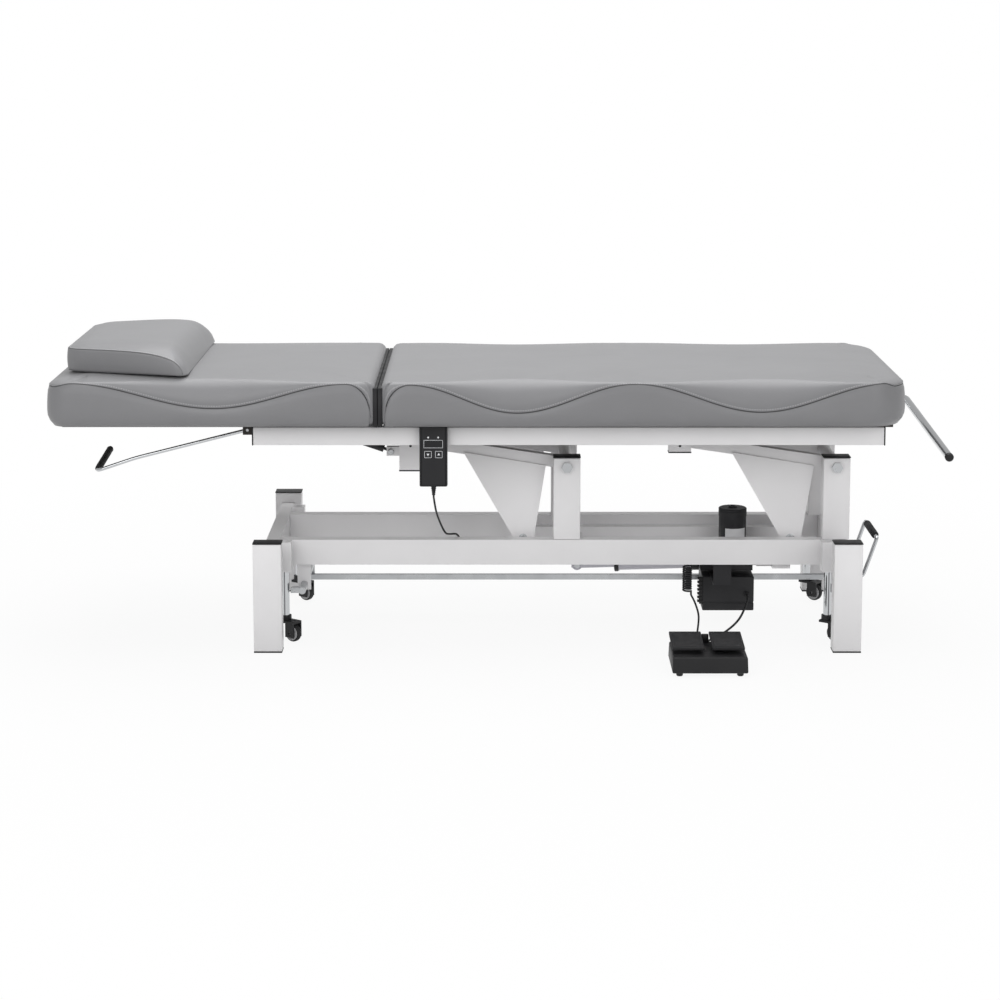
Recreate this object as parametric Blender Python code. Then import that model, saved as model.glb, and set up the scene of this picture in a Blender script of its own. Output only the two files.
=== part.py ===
"""Electric examination table: a steel base with a parallelogram lift, a flat top with a
hinged head section and a loose pillow, a hand control and a foot switch on cords.

Working axes: X runs from the head end (-) to the foot end (+), -Y faces the user who
stands at the hand control, Z is up, and z = 0 is the floor. Everything hangs from one
empty that puts the middle of the table's footprint on the origin. Lengths in metres.
"""

import math

import bmesh
import bpy
from mathutils import Matrix, Vector

# Clearances that all pieces use
GAP = 0.0003
WELD = 0.001
CUT_OVERRUN = 0.004

# Base frame
LEG_WIDE = 0.062
LEG_DEEP = 0.040
LEG_TALL = 0.245
LEG_PIVOT_OUT_X = 0.0086
LEG_SPAN_X = 1.268
LEG_SPREAD_Y = 0.557
RAIL_WIDE = 0.030
RAIL_TALL = 0.057
RAIL_LOW_Z = 0.163
SIDE_RAIL_SPREAD_Y = 0.269

# Uprights and the pivots of the lift arms
UPRIGHT_WIDE = 0.060
UPRIGHT_DEEP = 0.040
UPRIGHT_TALL = 0.1872
TOP_PIVOT_OFF_X = 0.200
PIVOT_SPAN_X = 0.602
PIVOT_DROP = 0.0225
PIVOT_SHAFT_R = 0.008
HEX_HEAD_R = 0.0125
HEX_HEAD_TALL = 0.008

# Lift arms and the bar that ties them
ARM_REACH_X = 0.3494
ARM_RISE_Z = 0.052
ARM_TUBE_TALL = 0.026
ARM_TUBE_WIDE = 0.025
ARM_SIDE_CLEAR = 0.007
ARM_BUSH_R = 0.014
GUSSET_THICK = 0.0045
GUSSET_TOP_LEFT_OUT = 0.2314
GUSSET_TOP_LEFT_UP = 0.026
GUSSET_TOP_RIGHT_OUT = 0.0464
GUSSET_TOP_RIGHT_DROP = 0.004
GUSSET_LOW_RIGHT_OUT = 0.0748
GUSSET_LOW_LEFT_OUT = 0.112
GUSSET_TIP = 0.012
TIE_PIN_OUT_X = 0.0974
TIE_PIN_UP = 0.052
TIE_PIN_R = 0.007
TIE_PIN_REACH = 0.048
TIE_BAR_WIDE = 0.025
TIE_BAR_TALL = 0.025
TIE_BAR_DROP = 0.012
TIE_BAR_IN = 0.028
TIE_LUG_WIDE = 0.026
TIE_LUG_OVER = 0.014

# Actuator
REAR_PIN_OUT_X = 0.4506
REAR_PIN_DROP = 0.021
REAR_PIN_R = 0.005
ROD_PIN_ALONG = 0.125
ROD_PIN_DROP = 0.048
ROD_R = 0.010
ROD_EYE_R = 0.013
ROD_EYE_THICK = 0.018
ROD_END_CLEAR = 0.026
ROD_SHOWS = 0.091
TUBE_R = 0.017
TUBE_RING_R = 0.019
TUBE_RING_LONG = 0.007
GEARBOX_LONG = 0.119
GEARBOX_DEEP = 0.074
GEARBOX_TALL = 0.038
GEARBOX_TO_PIN = 0.022
TONGUE_DEEP = 0.036
TONGUE_TALL = 0.022
MOTOR_R = 0.0315
MOTOR_INSET = 0.044
MOTOR_TALL = 0.120
EAR_THICK = 0.005
EAR_WIDE = 0.024
EAR_CLEAR = 0.001
CROSS_BAR_WIDE = 0.040
CROSS_BAR_TALL = 0.012
ROD_BRACKET_THICK = 0.006
ROD_BRACKET_WIDE = 0.024
ROD_BRACKET_TALL = 0.020
ROD_BRACKET_LAP = 0.008
ROD_BRACKET_DOWN = 0.012
ROD_BRACKET_CLEAR = 0.003

# Control box on its strap
BOX_WIDE = 0.115
BOX_TALL = 0.077
BOX_DEEP = 0.110
BOX_TO_PIN = 0.0795
BOX_OFF_Y = 0.005
BOX_DROP = 0.050
STRAP_WIDE = 0.040
STRAP_OFF = 0.0205
STRAP_THICK = 0.003
BOX_GLAND_R = 0.005
BOX_GLAND_LONG = 0.010
BOX_GLAND_OFF = 0.0425
BOX_GLAND_UP = 0.038

# Foot switch
SWITCH_WIDE = 0.1607
SWITCH_DEEP = 0.136
SWITCH_TALL = 0.035
SWITCH_FOOT_TALL = 0.008
SWITCH_FOOT_WIDE = 0.020
SWITCH_X = 0.4447
SWITCH_OUT_Y = 0.493
PEDAL_WIDE = 0.066
PEDAL_LEFT_OFF = 0.0452
PEDAL_RIGHT_OFF = 0.0408
PEDAL_DEEP = 0.102
PEDAL_EDGE_TALL = 0.008
PEDAL_FRONT_Z = 0.059
PEDAL_BACK_Z = 0.066
PEDAL_PIN_R = 0.003
PEDAL_PIN_INSET = 0.006
PEDAL_PIN_REACH = 0.0014
PEDAL_UNDER_GAP = 0.0005

# Casters and their lifting gear
STEM_R = 0.009
STEM_CLEAR = 0.0003
FORK_BOSS_TALL = 0.0105
STEM_UP = 0.037
STEM_OFF_X = 0.030
STEM_OFF_Y = 0.0385
SLEEVE_WIDE = 0.030
SLEEVE_OVER = 0.006
SLEEVE_UNDER = 0.005
WHEEL_R = 0.020
WHEEL_WIDE = 0.019
WHEEL_FLOOR_GAP = 0.0005
AXLE_R = 0.003
AXLE_HALF = 0.0145
TRAIL = 0.022
FORK_BOSS_R = 0.013
FORK_PLATE_THICK = 0.005
FORK_CHEEK_THICK = 0.0032
FORK_CHEEK_CLEAR = 0.0013
FORK_CHEEK_WIDE = 0.024
FORK_CHEEK_DROP = 0.009
FORK_WHEEL_CLEAR = 0.002
WHEEL_EDGE = 0.003
FORK_REST_TURN = math.radians(-37)
LIFT_DROP = 0.048
LIFT_SHAFT_R = 0.008
LIFT_LEFT_OUT = 0.068
LIFT_RIGHT_OUT = 0.008
LIFT_SHAFT_OVER = 0.011
LIFT_LEVER_THICK = 0.012
LIFT_LEVER_TALL = 0.012
LIFT_LEVER_CLEAR = 0.003
LIFT_BEARING_THICK = 0.006
LIFT_BEARING_WIDE = 0.030
LIFT_BEARING_DROP = 0.012
LIFT_RIGHT_BEARING_IN = 0.022
LINK_ARM_DROP = 0.032
LINK_ARM_WIDE = 0.014
LINK_ARM_THICK = 0.006
LINK_BAR_Y = 0.070
LINK_BAR_WIDE = 0.012
LINK_BAR_TALL = 0.012
LINK_BAR_OVER = 0.010
LINK_BAR_CLEAR = 0.0005
FOOT_LEVER_R = 0.0045
FOOT_LEVER_Y = 0.090
FOOT_LEVER_OUT_1 = 0.054
FOOT_LEVER_UP_1 = 0.007
FOOT_LEVER_OUT_2 = 0.061
FOOT_LEVER_UP_2 = 0.026
FOOT_LEVER_OUT_3 = 0.085
FOOT_LEVER_UP_3 = 0.096
FOOT_LEVER_BEND = 0.009
FOOT_GRIP_R = 0.008
FOOT_GRIP_HALF = 0.060

# Top frame
TOP_RAIL_WIDE = 0.025
TOP_RAIL_TALL = 0.040
TOP_RAIL_OVER_PIVOT = 0.0165
TOP_RAIL_Y = 0.2375
TOP_OVER_PIVOT_X = 0.3404
TOP_LONG = 1.3807
TOP_CROSS_WIDE = 0.050
TOP_END_CROSS_WIDE = 0.030
TOP_END_CROSS_INSET = 0.030
STUB_THICK = 0.025
STUB_CLEAR = 0.0025
LEFT_STUB_DROP = 0.064
RIGHT_STUB_DROP = 0.0224
TOP_PIN_R = 0.008

# Boards, cushions and pillow
BOARD_THICK = 0.009
BOARD_INSET = 0.025
BOARD_RAIL_INSET = 0.0005
CUSHION_HINGE_GAP = 0.006
SEAT_OVER_RAIL = 0.0427
HEAD_LONG = 0.710
CUSHION_HALF_Y = 0.310
CUSHION_TALL = 0.097
SEAT_CROWN = 0.006
HEAD_CROWN = 0.010
SEAT_LEFT_CORNER = 0.025
SEAT_RIGHT_CORNER = 0.060
HEAD_LEFT_CORNER = 0.070
HEAD_RIGHT_CORNER = 0.020
CUSHION_EDGE_R = 0.014
CUSHION_DRAW_IN = 0.004
PILLOW_INSET = 0.029
PILLOW_LONG = 0.273
PILLOW_LEFT_INSET_Y = 0.110
PILLOW_RIGHT_INSET_Y = 0.030
PILLOW_TALL = 0.055
PILLOW_SLOPE_DROP = 0.020
PILLOW_LIP_DROP = 0.026
PILLOW_CROWN = 0.012
PILLOW_CORNER = 0.028

# Head hinge, gas strut and release lever
HEAD_HINGE_OUT_X = 0.064
HEAD_HINGE_DROP = 0.0001
STRUT_LOW_OUT_X = 0.0436
STRUT_LOW_DROP = 0.0367
STRUT_SPAN_X = 0.1764
STRUT_HIGH_UP = 0.0235
STRUT_CYLINDER_R = 0.009
STRUT_CYLINDER_LONG = 0.152
STRUT_NECK_R = 0.0035
STRUT_NECK_LONG = 0.017
STRUT_ROD_R = 0.004
STRUT_ROD_INSIDE = 0.131
STRUT_BORE_CLEAR = 0.0004
STRUT_EYE_R = 0.007
STRUT_EYE_THICK = 0.008
STRUT_PIN_R = 0.004
STRUT_EAR_THICK = 0.004
STRUT_EAR_WIDE = 0.020
STRUT_EAR_CLEAR = 0.001
RELEASE_OUT_X = 0.0156
RELEASE_UP = 0.0255
RELEASE_IN_Y = 0.025
RELEASE_R = 0.004
RELEASE_MID_OUT_X = 0.248
RELEASE_MID_DROP = 0.063
RELEASE_END_OUT_X = 0.334
RELEASE_END_DROP = 0.092
RELEASE_BEND = 0.014
RELEASE_GRIP_R = 0.0075
RELEASE_GRIP_START = 0.018
RELEASE_GRIP_LONG = 0.175
RELEASE_GRIP_RISE = 0.014
RELEASE_EYE_R = 0.008
RELEASE_EYE_THICK = 0.008
RELEASE_PIN_R = 0.003
RELEASE_EAR_THICK = 0.003
RELEASE_EAR_WIDE = 0.020
RELEASE_SIDE_CLEAR = 0.0005
STRUT_SIDE_CLEAR = 0.0005

# Paper roll holder
HOLDER_R = 0.009
HOLDER_NEAR_OUT_X = 0.1337
HOLDER_NEAR_OVER_Y = 0.050
HOLDER_NEAR_DROP = 0.0185
HOLDER_FAR_OUT_X = 0.1257
HOLDER_RAIL_UP = 0.0225
HOLDER_BEND = 0.035
HOLDER_ALONG = 0.200

# Hand control
HANDSET_OUT_X = 0.055
HANDSET_WIDE = 0.061
HANDSET_DEEP = 0.022
HANDSET_DROP = 0.0885
HANDSET_TALL = 0.137
HANDSET_CHAMFER = 0.005
RELIEF_R = 0.0035
RELIEF_LONG = 0.020

# Cords. A route's own points are places chosen along it.
CORD_R = 0.0022
CORD_STEP = 0.010
CORD_OVER_RAIL = 0.0105
CURL_X = 0.423
CURL_Y = -0.108
CURL_TOP_Z = 0.150
CURL_R = 0.0090
CURL_TURNS = 11
CURL_PITCH = 0.0052
CURL_LEAD = 0.0045
CURL_POINTS = 9
SWITCH_CORD_R = 0.0025
SWITCH_CORD_STEP = 0.0065
SWITCH_CORD_X = 0.4380
CURL_CORD_X = 0.4220
SWITCH_CORD_Z = 0.026

# Counts of flat sides
ROUND_SIDES = 16
BUSH_SIDES = 20
WHEEL_SIDES = 24
ROD_SIDES = 12
ROUTE_FINENESS = 24

SIDES_Y = (("front", -1.0), ("back", 1.0))

# Base: the rails carry the uprights, and the right legs stand by the right pivot
RAIL_TOP_Z = RAIL_LOW_Z + RAIL_TALL
UPRIGHT_LOW_Z = RAIL_TOP_Z + GAP
PIVOT_Z = UPRIGHT_LOW_Z + UPRIGHT_TALL - PIVOT_DROP
TOP_PIVOT_X = -TOP_PIVOT_OFF_X
PIVOT_LEFT_X = TOP_PIVOT_X + ARM_REACH_X
PIVOT_RIGHT_X = PIVOT_LEFT_X + PIVOT_SPAN_X
PIVOT_XS = (("left", PIVOT_LEFT_X), ("right", PIVOT_RIGHT_X))
LEG_RIGHT_X = PIVOT_RIGHT_X + LEG_PIVOT_OUT_X
LEG_LEFT_X = LEG_RIGHT_X - LEG_SPAN_X
LEG_Y = LEG_SPREAD_Y / 2
LEG_INNER_Y = LEG_Y - LEG_DEEP / 2
SIDE_RAIL_Y = SIDE_RAIL_SPREAD_Y / 2
SIDE_RAIL_IN_Y = SIDE_RAIL_Y - RAIL_WIDE / 2
SIDE_RAIL_OUT_Y = SIDE_RAIL_Y + RAIL_WIDE / 2
UPRIGHT_IN_Y = SIDE_RAIL_OUT_Y - UPRIGHT_DEEP

# Arms
ARM_OUT_Y = UPRIGHT_IN_Y - ARM_SIDE_CLEAR
ARM_TUBE_Y = ARM_OUT_Y - ARM_TUBE_WIDE / 2
GUSSET_OUT_Y = ARM_OUT_Y + GUSSET_THICK
TIE_BAR_Y = ARM_OUT_Y - TIE_BAR_IN
TIE_PIN_Z = RAIL_LOW_Z + TIE_PIN_UP
TIE_BAR_LOW_Z = TIE_PIN_Z - TIE_BAR_DROP - TIE_BAR_TALL
TOP_PIVOT_Z = PIVOT_Z + ARM_RISE_Z

# Drive
REAR_PIN_X = PIVOT_LEFT_X + REAR_PIN_OUT_X
REAR_PIN_Z = RAIL_LOW_Z - REAR_PIN_DROP
ROD_PIN_X = PIVOT_LEFT_X - TIE_PIN_OUT_X + ROD_PIN_ALONG
ROD_PIN_Z = TIE_BAR_LOW_Z - ROD_PIN_DROP
GEARBOX_BACK_X = REAR_PIN_X - GEARBOX_TO_PIN
MOTOR_X = GEARBOX_BACK_X - MOTOR_INSET
MOTOR_TOP_Z = REAR_PIN_Z + MOTOR_TALL
BOX_X = REAR_PIN_X - BOX_TO_PIN
BOX_Y = -BOX_OFF_Y
BOX_LOW_Z = RAIL_LOW_Z - BOX_DROP - BOX_TALL
STRAP_X = BOX_X - STRAP_OFF
BOX_GLAND_X = BOX_X + BOX_GLAND_OFF
BOX_GLAND_Z = BOX_LOW_Z + BOX_GLAND_UP

# Foot switch
PEDAL_LEFT_X = SWITCH_X - PEDAL_LEFT_OFF
PEDAL_RIGHT_X = SWITCH_X + PEDAL_RIGHT_OFF
SWITCH_FRONT_Y = -SWITCH_OUT_Y
SWITCH_BACK_Y = SWITCH_FRONT_Y + SWITCH_DEEP
SWITCH_TOP_Z = SWITCH_FOOT_TALL + SWITCH_TALL

# Casters and lifting gear
STEM_Y = SIDE_RAIL_OUT_Y + STEM_OFF_Y
WHEEL_Z = WHEEL_R + WHEEL_FLOOR_GAP
FORK_PLATE_Z = WHEEL_Z + WHEEL_R + FORK_WHEEL_CLEAR
STEM_LOW_Z = FORK_PLATE_Z + FORK_PLATE_THICK + FORK_BOSS_TALL
STEM_TOP_Z = RAIL_LOW_Z + STEM_UP
LIFT_Z = RAIL_LOW_Z - LIFT_DROP
LIFT_LEFT_X = LEG_LEFT_X + LIFT_LEFT_OUT
LIFT_RIGHT_X = LEG_RIGHT_X + LIFT_RIGHT_OUT
LIFT_SHAFT_HALF = STEM_Y + LIFT_SHAFT_OVER
LIFT_RIGHT_BEARING_Y = STEM_Y - LIFT_RIGHT_BEARING_IN

# Top
TOP_RAIL_LOW_Z = TOP_PIVOT_Z + TOP_RAIL_OVER_PIVOT
TOP_RAIL_TOP_Z = TOP_RAIL_LOW_Z + TOP_RAIL_TALL
TOP_LEFT_X = TOP_PIVOT_X - TOP_OVER_PIVOT_X
TOP_RIGHT_X = TOP_LEFT_X + TOP_LONG
TOP_RAIL_IN_Y = TOP_RAIL_Y - TOP_RAIL_WIDE / 2
TOP_RAIL_OUT_Y = TOP_RAIL_Y + TOP_RAIL_WIDE / 2
STUB_IN_Y = ARM_OUT_Y + STUB_CLEAR
LEFT_STUB_LOW_Z = TOP_PIVOT_Z - LEFT_STUB_DROP
RIGHT_STUB_LOW_Z = TOP_PIVOT_Z - RIGHT_STUB_DROP
BOARD_LOW_Z = TOP_RAIL_TOP_Z + GAP
BOARD_HALF_Y = TOP_RAIL_OUT_Y - BOARD_RAIL_INSET
CUSHION_LOW_Z = BOARD_LOW_Z + BOARD_THICK + GAP
CUSHION_TOP_Z = CUSHION_LOW_Z + CUSHION_TALL
HEAD_HINGE_X = TOP_PIVOT_X - HEAD_HINGE_OUT_X
HEAD_HINGE_Z = CUSHION_TOP_Z - HEAD_HINGE_DROP
SEAT_LEFT_X = HEAD_HINGE_X + CUSHION_HINGE_GAP
SEAT_RIGHT_X = TOP_RIGHT_X + SEAT_OVER_RAIL
HEAD_RIGHT_X = HEAD_HINGE_X - CUSHION_HINGE_GAP
HEAD_LEFT_X = HEAD_RIGHT_X - HEAD_LONG
PILLOW_LEFT_X = HEAD_LEFT_X + PILLOW_INSET
PILLOW_RIGHT_X = PILLOW_LEFT_X + PILLOW_LONG
PILLOW_LEFT_HALF_Y = CUSHION_HALF_Y - PILLOW_LEFT_INSET_Y
PILLOW_RIGHT_HALF_Y = CUSHION_HALF_Y - PILLOW_RIGHT_INSET_Y
PILLOW_LOW_Z = CUSHION_TOP_Z + HEAD_CROWN + GAP

# Head gear
STRUT_Y = -(STUB_IN_Y + STUB_THICK / 2)
STRUT_LOW_X = TOP_PIVOT_X - STRUT_LOW_OUT_X
STRUT_LOW_Z = TOP_RAIL_LOW_Z - STRUT_LOW_DROP
STRUT_HIGH_X = STRUT_LOW_X - STRUT_SPAN_X
STRUT_HIGH_Z = TOP_RAIL_LOW_Z + STRUT_HIGH_UP
RELEASE_X = TOP_LEFT_X - RELEASE_OUT_X
RELEASE_Y = -(TOP_RAIL_IN_Y - RELEASE_IN_Y)
RELEASE_Z = TOP_RAIL_LOW_Z + RELEASE_UP
RELEASE_MID_X = RELEASE_X - RELEASE_MID_OUT_X
RELEASE_MID_Z = RELEASE_Z - RELEASE_MID_DROP
RELEASE_END_X = RELEASE_X - RELEASE_END_OUT_X
RELEASE_END_Z = RELEASE_Z - RELEASE_END_DROP

# Roll holder and hand control
HOLDER_NEAR_X = TOP_RIGHT_X + HOLDER_NEAR_OUT_X
HOLDER_NEAR_Y = -(TOP_RAIL_OUT_Y + HOLDER_NEAR_OVER_Y)
HOLDER_NEAR_Z = TOP_RAIL_LOW_Z - HOLDER_NEAR_DROP
HOLDER_FAR_X = TOP_RIGHT_X + HOLDER_FAR_OUT_X
HOLDER_RAIL_Z = TOP_RAIL_LOW_Z + HOLDER_RAIL_UP
HANDSET_X = TOP_PIVOT_X + HANDSET_OUT_X
HANDSET_LOW_Z = TOP_RAIL_LOW_Z - HANDSET_DROP

# The footprint's middle: the left cushion end and the roll holder's end set X, the foot
# switch and the cushions set Y.
FOOT_RIGHT_X = HOLDER_NEAR_X + HOLDER_R
SHIFT_X = -(HEAD_LEFT_X + FOOT_RIGHT_X) / 2
SHIFT_Y = -(SWITCH_FRONT_Y + CUSHION_HALF_Y) / 2


# Shapes: each is a list of points and a list of faces, counter-clockwise from outside.


def rings_shape(rings):
    """A closed body through rings of equal count, counter-clockwise seen from its end."""
    count = len(rings[0])
    points = [Vector(point) for ring in rings for point in ring]
    faces = [list(reversed(range(count)))]
    for ring in range(len(rings) - 1):
        low = ring * count
        high = low + count
        for place in range(count):
            after = (place + 1) % count
            faces.append([low + place, low + after, high + after, high + place])
    last = (len(rings) - 1) * count
    faces.append([last + place for place in range(count)])
    return points, faces


def box(x_low, x_high, y_low, y_high, z_low, z_high):
    corners = ((x_low, y_low), (x_high, y_low), (x_high, y_high), (x_low, y_high))
    return rings_shape([[(x, y, z) for x, y in corners] for z in (z_low, z_high)])


def side_plate(outline, y_low, y_high):
    """An XZ outline, counter-clockwise as seen from -Y, given thickness along Y."""
    return rings_shape([[(x, y, z) for x, z in reversed(outline)] for y in (y_low, y_high)])


def frame_along(start, end):
    """Two unit vectors square to the run and to each other."""
    run = (Vector(end) - Vector(start)).normalized()
    up = Vector((0, 0, 1)) if abs(run.z) < math.cos(math.pi / 8) else Vector((1, 0, 0))
    across = up.cross(run).normalized()
    return across, run.cross(across)


def turned(start, end, profile, sides=ROUND_SIDES, hexes=()):
    """Turns (distance, radius) pairs about the line; a pair listed in hexes is a hexagon."""
    across, up = frame_along(start, end)
    run = (Vector(end) - Vector(start)).normalized()
    rings = []
    for place, (distance, radius) in enumerate(profile):
        ring = []
        for side in range(sides):
            turn = 2 * math.pi * side / sides
            reach = radius
            if place in hexes and side % 2:
                reach = radius * math.cos(math.pi / 6)
            off = across * math.cos(turn) * reach + up * math.sin(turn) * reach
            ring.append(Vector(start) + run * distance + off)
        rings.append(ring)
    return rings_shape(rings)


def bar(start, end, radius, sides=ROUND_SIDES):
    length = (Vector(end) - Vector(start)).length
    return turned(start, end, ((0, radius), (length, radius)), sides)


def across_bar(x, z, y_low, y_high, radius, sides=ROUND_SIDES):
    return bar((x, y_low, z), (x, y_high, z), radius, sides)


def square_tube(start, end, tall, y_low, y_high):
    """A bar of oblong section in the XZ plane, between two (x, z) places."""
    run = Vector((end[0] - start[0], 0, end[1] - start[1])).normalized()
    off = Vector((-run.z, 0, run.x)) * (tall / 2)
    a = Vector((start[0], 0, start[1]))
    b = Vector((end[0], 0, end[1]))
    outline = [(p.x, p.z) for p in (a - off, b - off, b + off, a + off)]
    return side_plate(outline, y_low, y_high)


def rounded_path(points, radius, steps=6):
    """The polyline with each inner corner replaced by a smooth turn that starts a radius off."""
    points = [Vector(point) for point in points]
    path = [points[0]]
    for before, corner, after in zip(points, points[1:], points[2:]):
        start = corner + (before - corner).normalized() * radius
        end = corner + (after - corner).normalized() * radius
        for step in range(steps + 1):
            share = step / steps
            path.append(start.lerp(corner, share).lerp(corner.lerp(end, share), share))
    path.append(points[-1])
    return path


def swept(path, radius, sides=ROD_SIDES):
    """A round rod along a path, its section carried without twist."""
    across, up = frame_along(path[0], path[1])
    rings = []
    for place, point in enumerate(path):
        before = path[max(place - 1, 0)]
        after = path[min(place + 1, len(path) - 1)]
        run = (after - before).normalized()
        across = (across - run * across.dot(run)).normalized()
        up = run.cross(across)
        ring = []
        for side in range(sides):
            turn = 2 * math.pi * side / sides
            ring.append(point + (across * math.cos(turn) + up * math.sin(turn)) * radius)
        rings.append(ring)
    return rings_shape(rings)


def moved(shape, matrix):
    points, faces = shape
    return [matrix @ point for point in points], faces


# Objects


def material(name, colour, roughness, metallic=0.0):
    made = bpy.data.materials.get(name) or bpy.data.materials.new(name)
    made.use_nodes = True
    shader = made.node_tree.nodes["Principled BSDF"]
    shader.inputs["Base Color"].default_value = (*colour, 1.0)
    shader.inputs["Roughness"].default_value = roughness
    shader.inputs["Metallic"].default_value = metallic
    made.diffuse_color = (*colour, 1.0)
    return made


WHITE_STEEL = ("white_steel", (0.80, 0.79, 0.78), 0.4, 0.0)
CHROME = ("chrome", (0.75, 0.76, 0.77), 0.15, 1.0)
GREY_METAL = ("grey_metal", (0.55, 0.56, 0.57), 0.35, 1.0)
BLACK_PLASTIC = ("black_plastic", (0.02, 0.02, 0.022), 0.45, 0.0)
BLACK_RUBBER = ("black_rubber", (0.015, 0.015, 0.016), 0.7, 0.0)
GREY_LEATHER = ("grey_leather", (0.24, 0.24, 0.25), 0.45, 0.0)
BOARD_WOOD = ("board_wood", (0.12, 0.11, 0.10), 0.8, 0.0)


def closed_mesh(name, points, faces):
    mesh = bpy.data.meshes.new(name)
    mesh.from_pydata(points, [], faces)
    work = bmesh.new()
    work.from_mesh(mesh)
    bmesh.ops.recalc_face_normals(work, faces=work.faces)
    work.to_mesh(mesh)
    work.free()
    return mesh


def place(name, shape, pivot, look, root):
    """An object with its origin at its pivot and its points given in the working axes."""
    points, faces = shape
    pivot = Vector(pivot)
    mesh = closed_mesh(name, [point - pivot for point in points], faces)
    made = bpy.data.objects.new(name, mesh)
    bpy.context.scene.collection.objects.link(made)
    made.location = pivot
    made.parent = root
    mesh.materials.append(material(name + "_" + look[0], *look[1:]))
    mesh.shade_smooth()
    mesh.set_sharp_from_angle(angle=math.radians(40))
    return made


def combine(target, shapes, operation, word):
    for number, shape in enumerate(shapes):
        points, faces = shape
        name = target.name + "_" + word + "_" + str(number)
        tool = bpy.data.objects.new(name, closed_mesh(name, points, faces))
        bpy.context.scene.collection.objects.link(tool)
        tool.parent = target.parent
        tool.hide_render = True
        tool.display_type = "WIRE"
        step = target.modifiers.new(name, "BOOLEAN")
        step.operation = operation
        step.solver = "EXACT"
        step.object = tool
    return target


def fuse(target, *shapes):
    return combine(target, shapes, "UNION", "joined")


def cut(target, *shapes):
    return combine(target, shapes, "DIFFERENCE", "cutter")


# The pieces


def lift_bearing(x, z, y_mid, top_z):
    """A plate under a rail that carries a lifting shaft, and the hole through it."""
    half = LIFT_BEARING_THICK / 2
    plate = box(
        x - LIFT_BEARING_WIDE / 2,
        x + LIFT_BEARING_WIDE / 2,
        y_mid - half,
        y_mid + half,
        z - LIFT_BEARING_DROP,
        top_z,
    )
    low = y_mid - half - CUT_OVERRUN
    high = y_mid + half + CUT_OVERRUN
    return plate, across_bar(x, z, low, high, LIFT_SHAFT_R + GAP, BUSH_SIDES)


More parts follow.
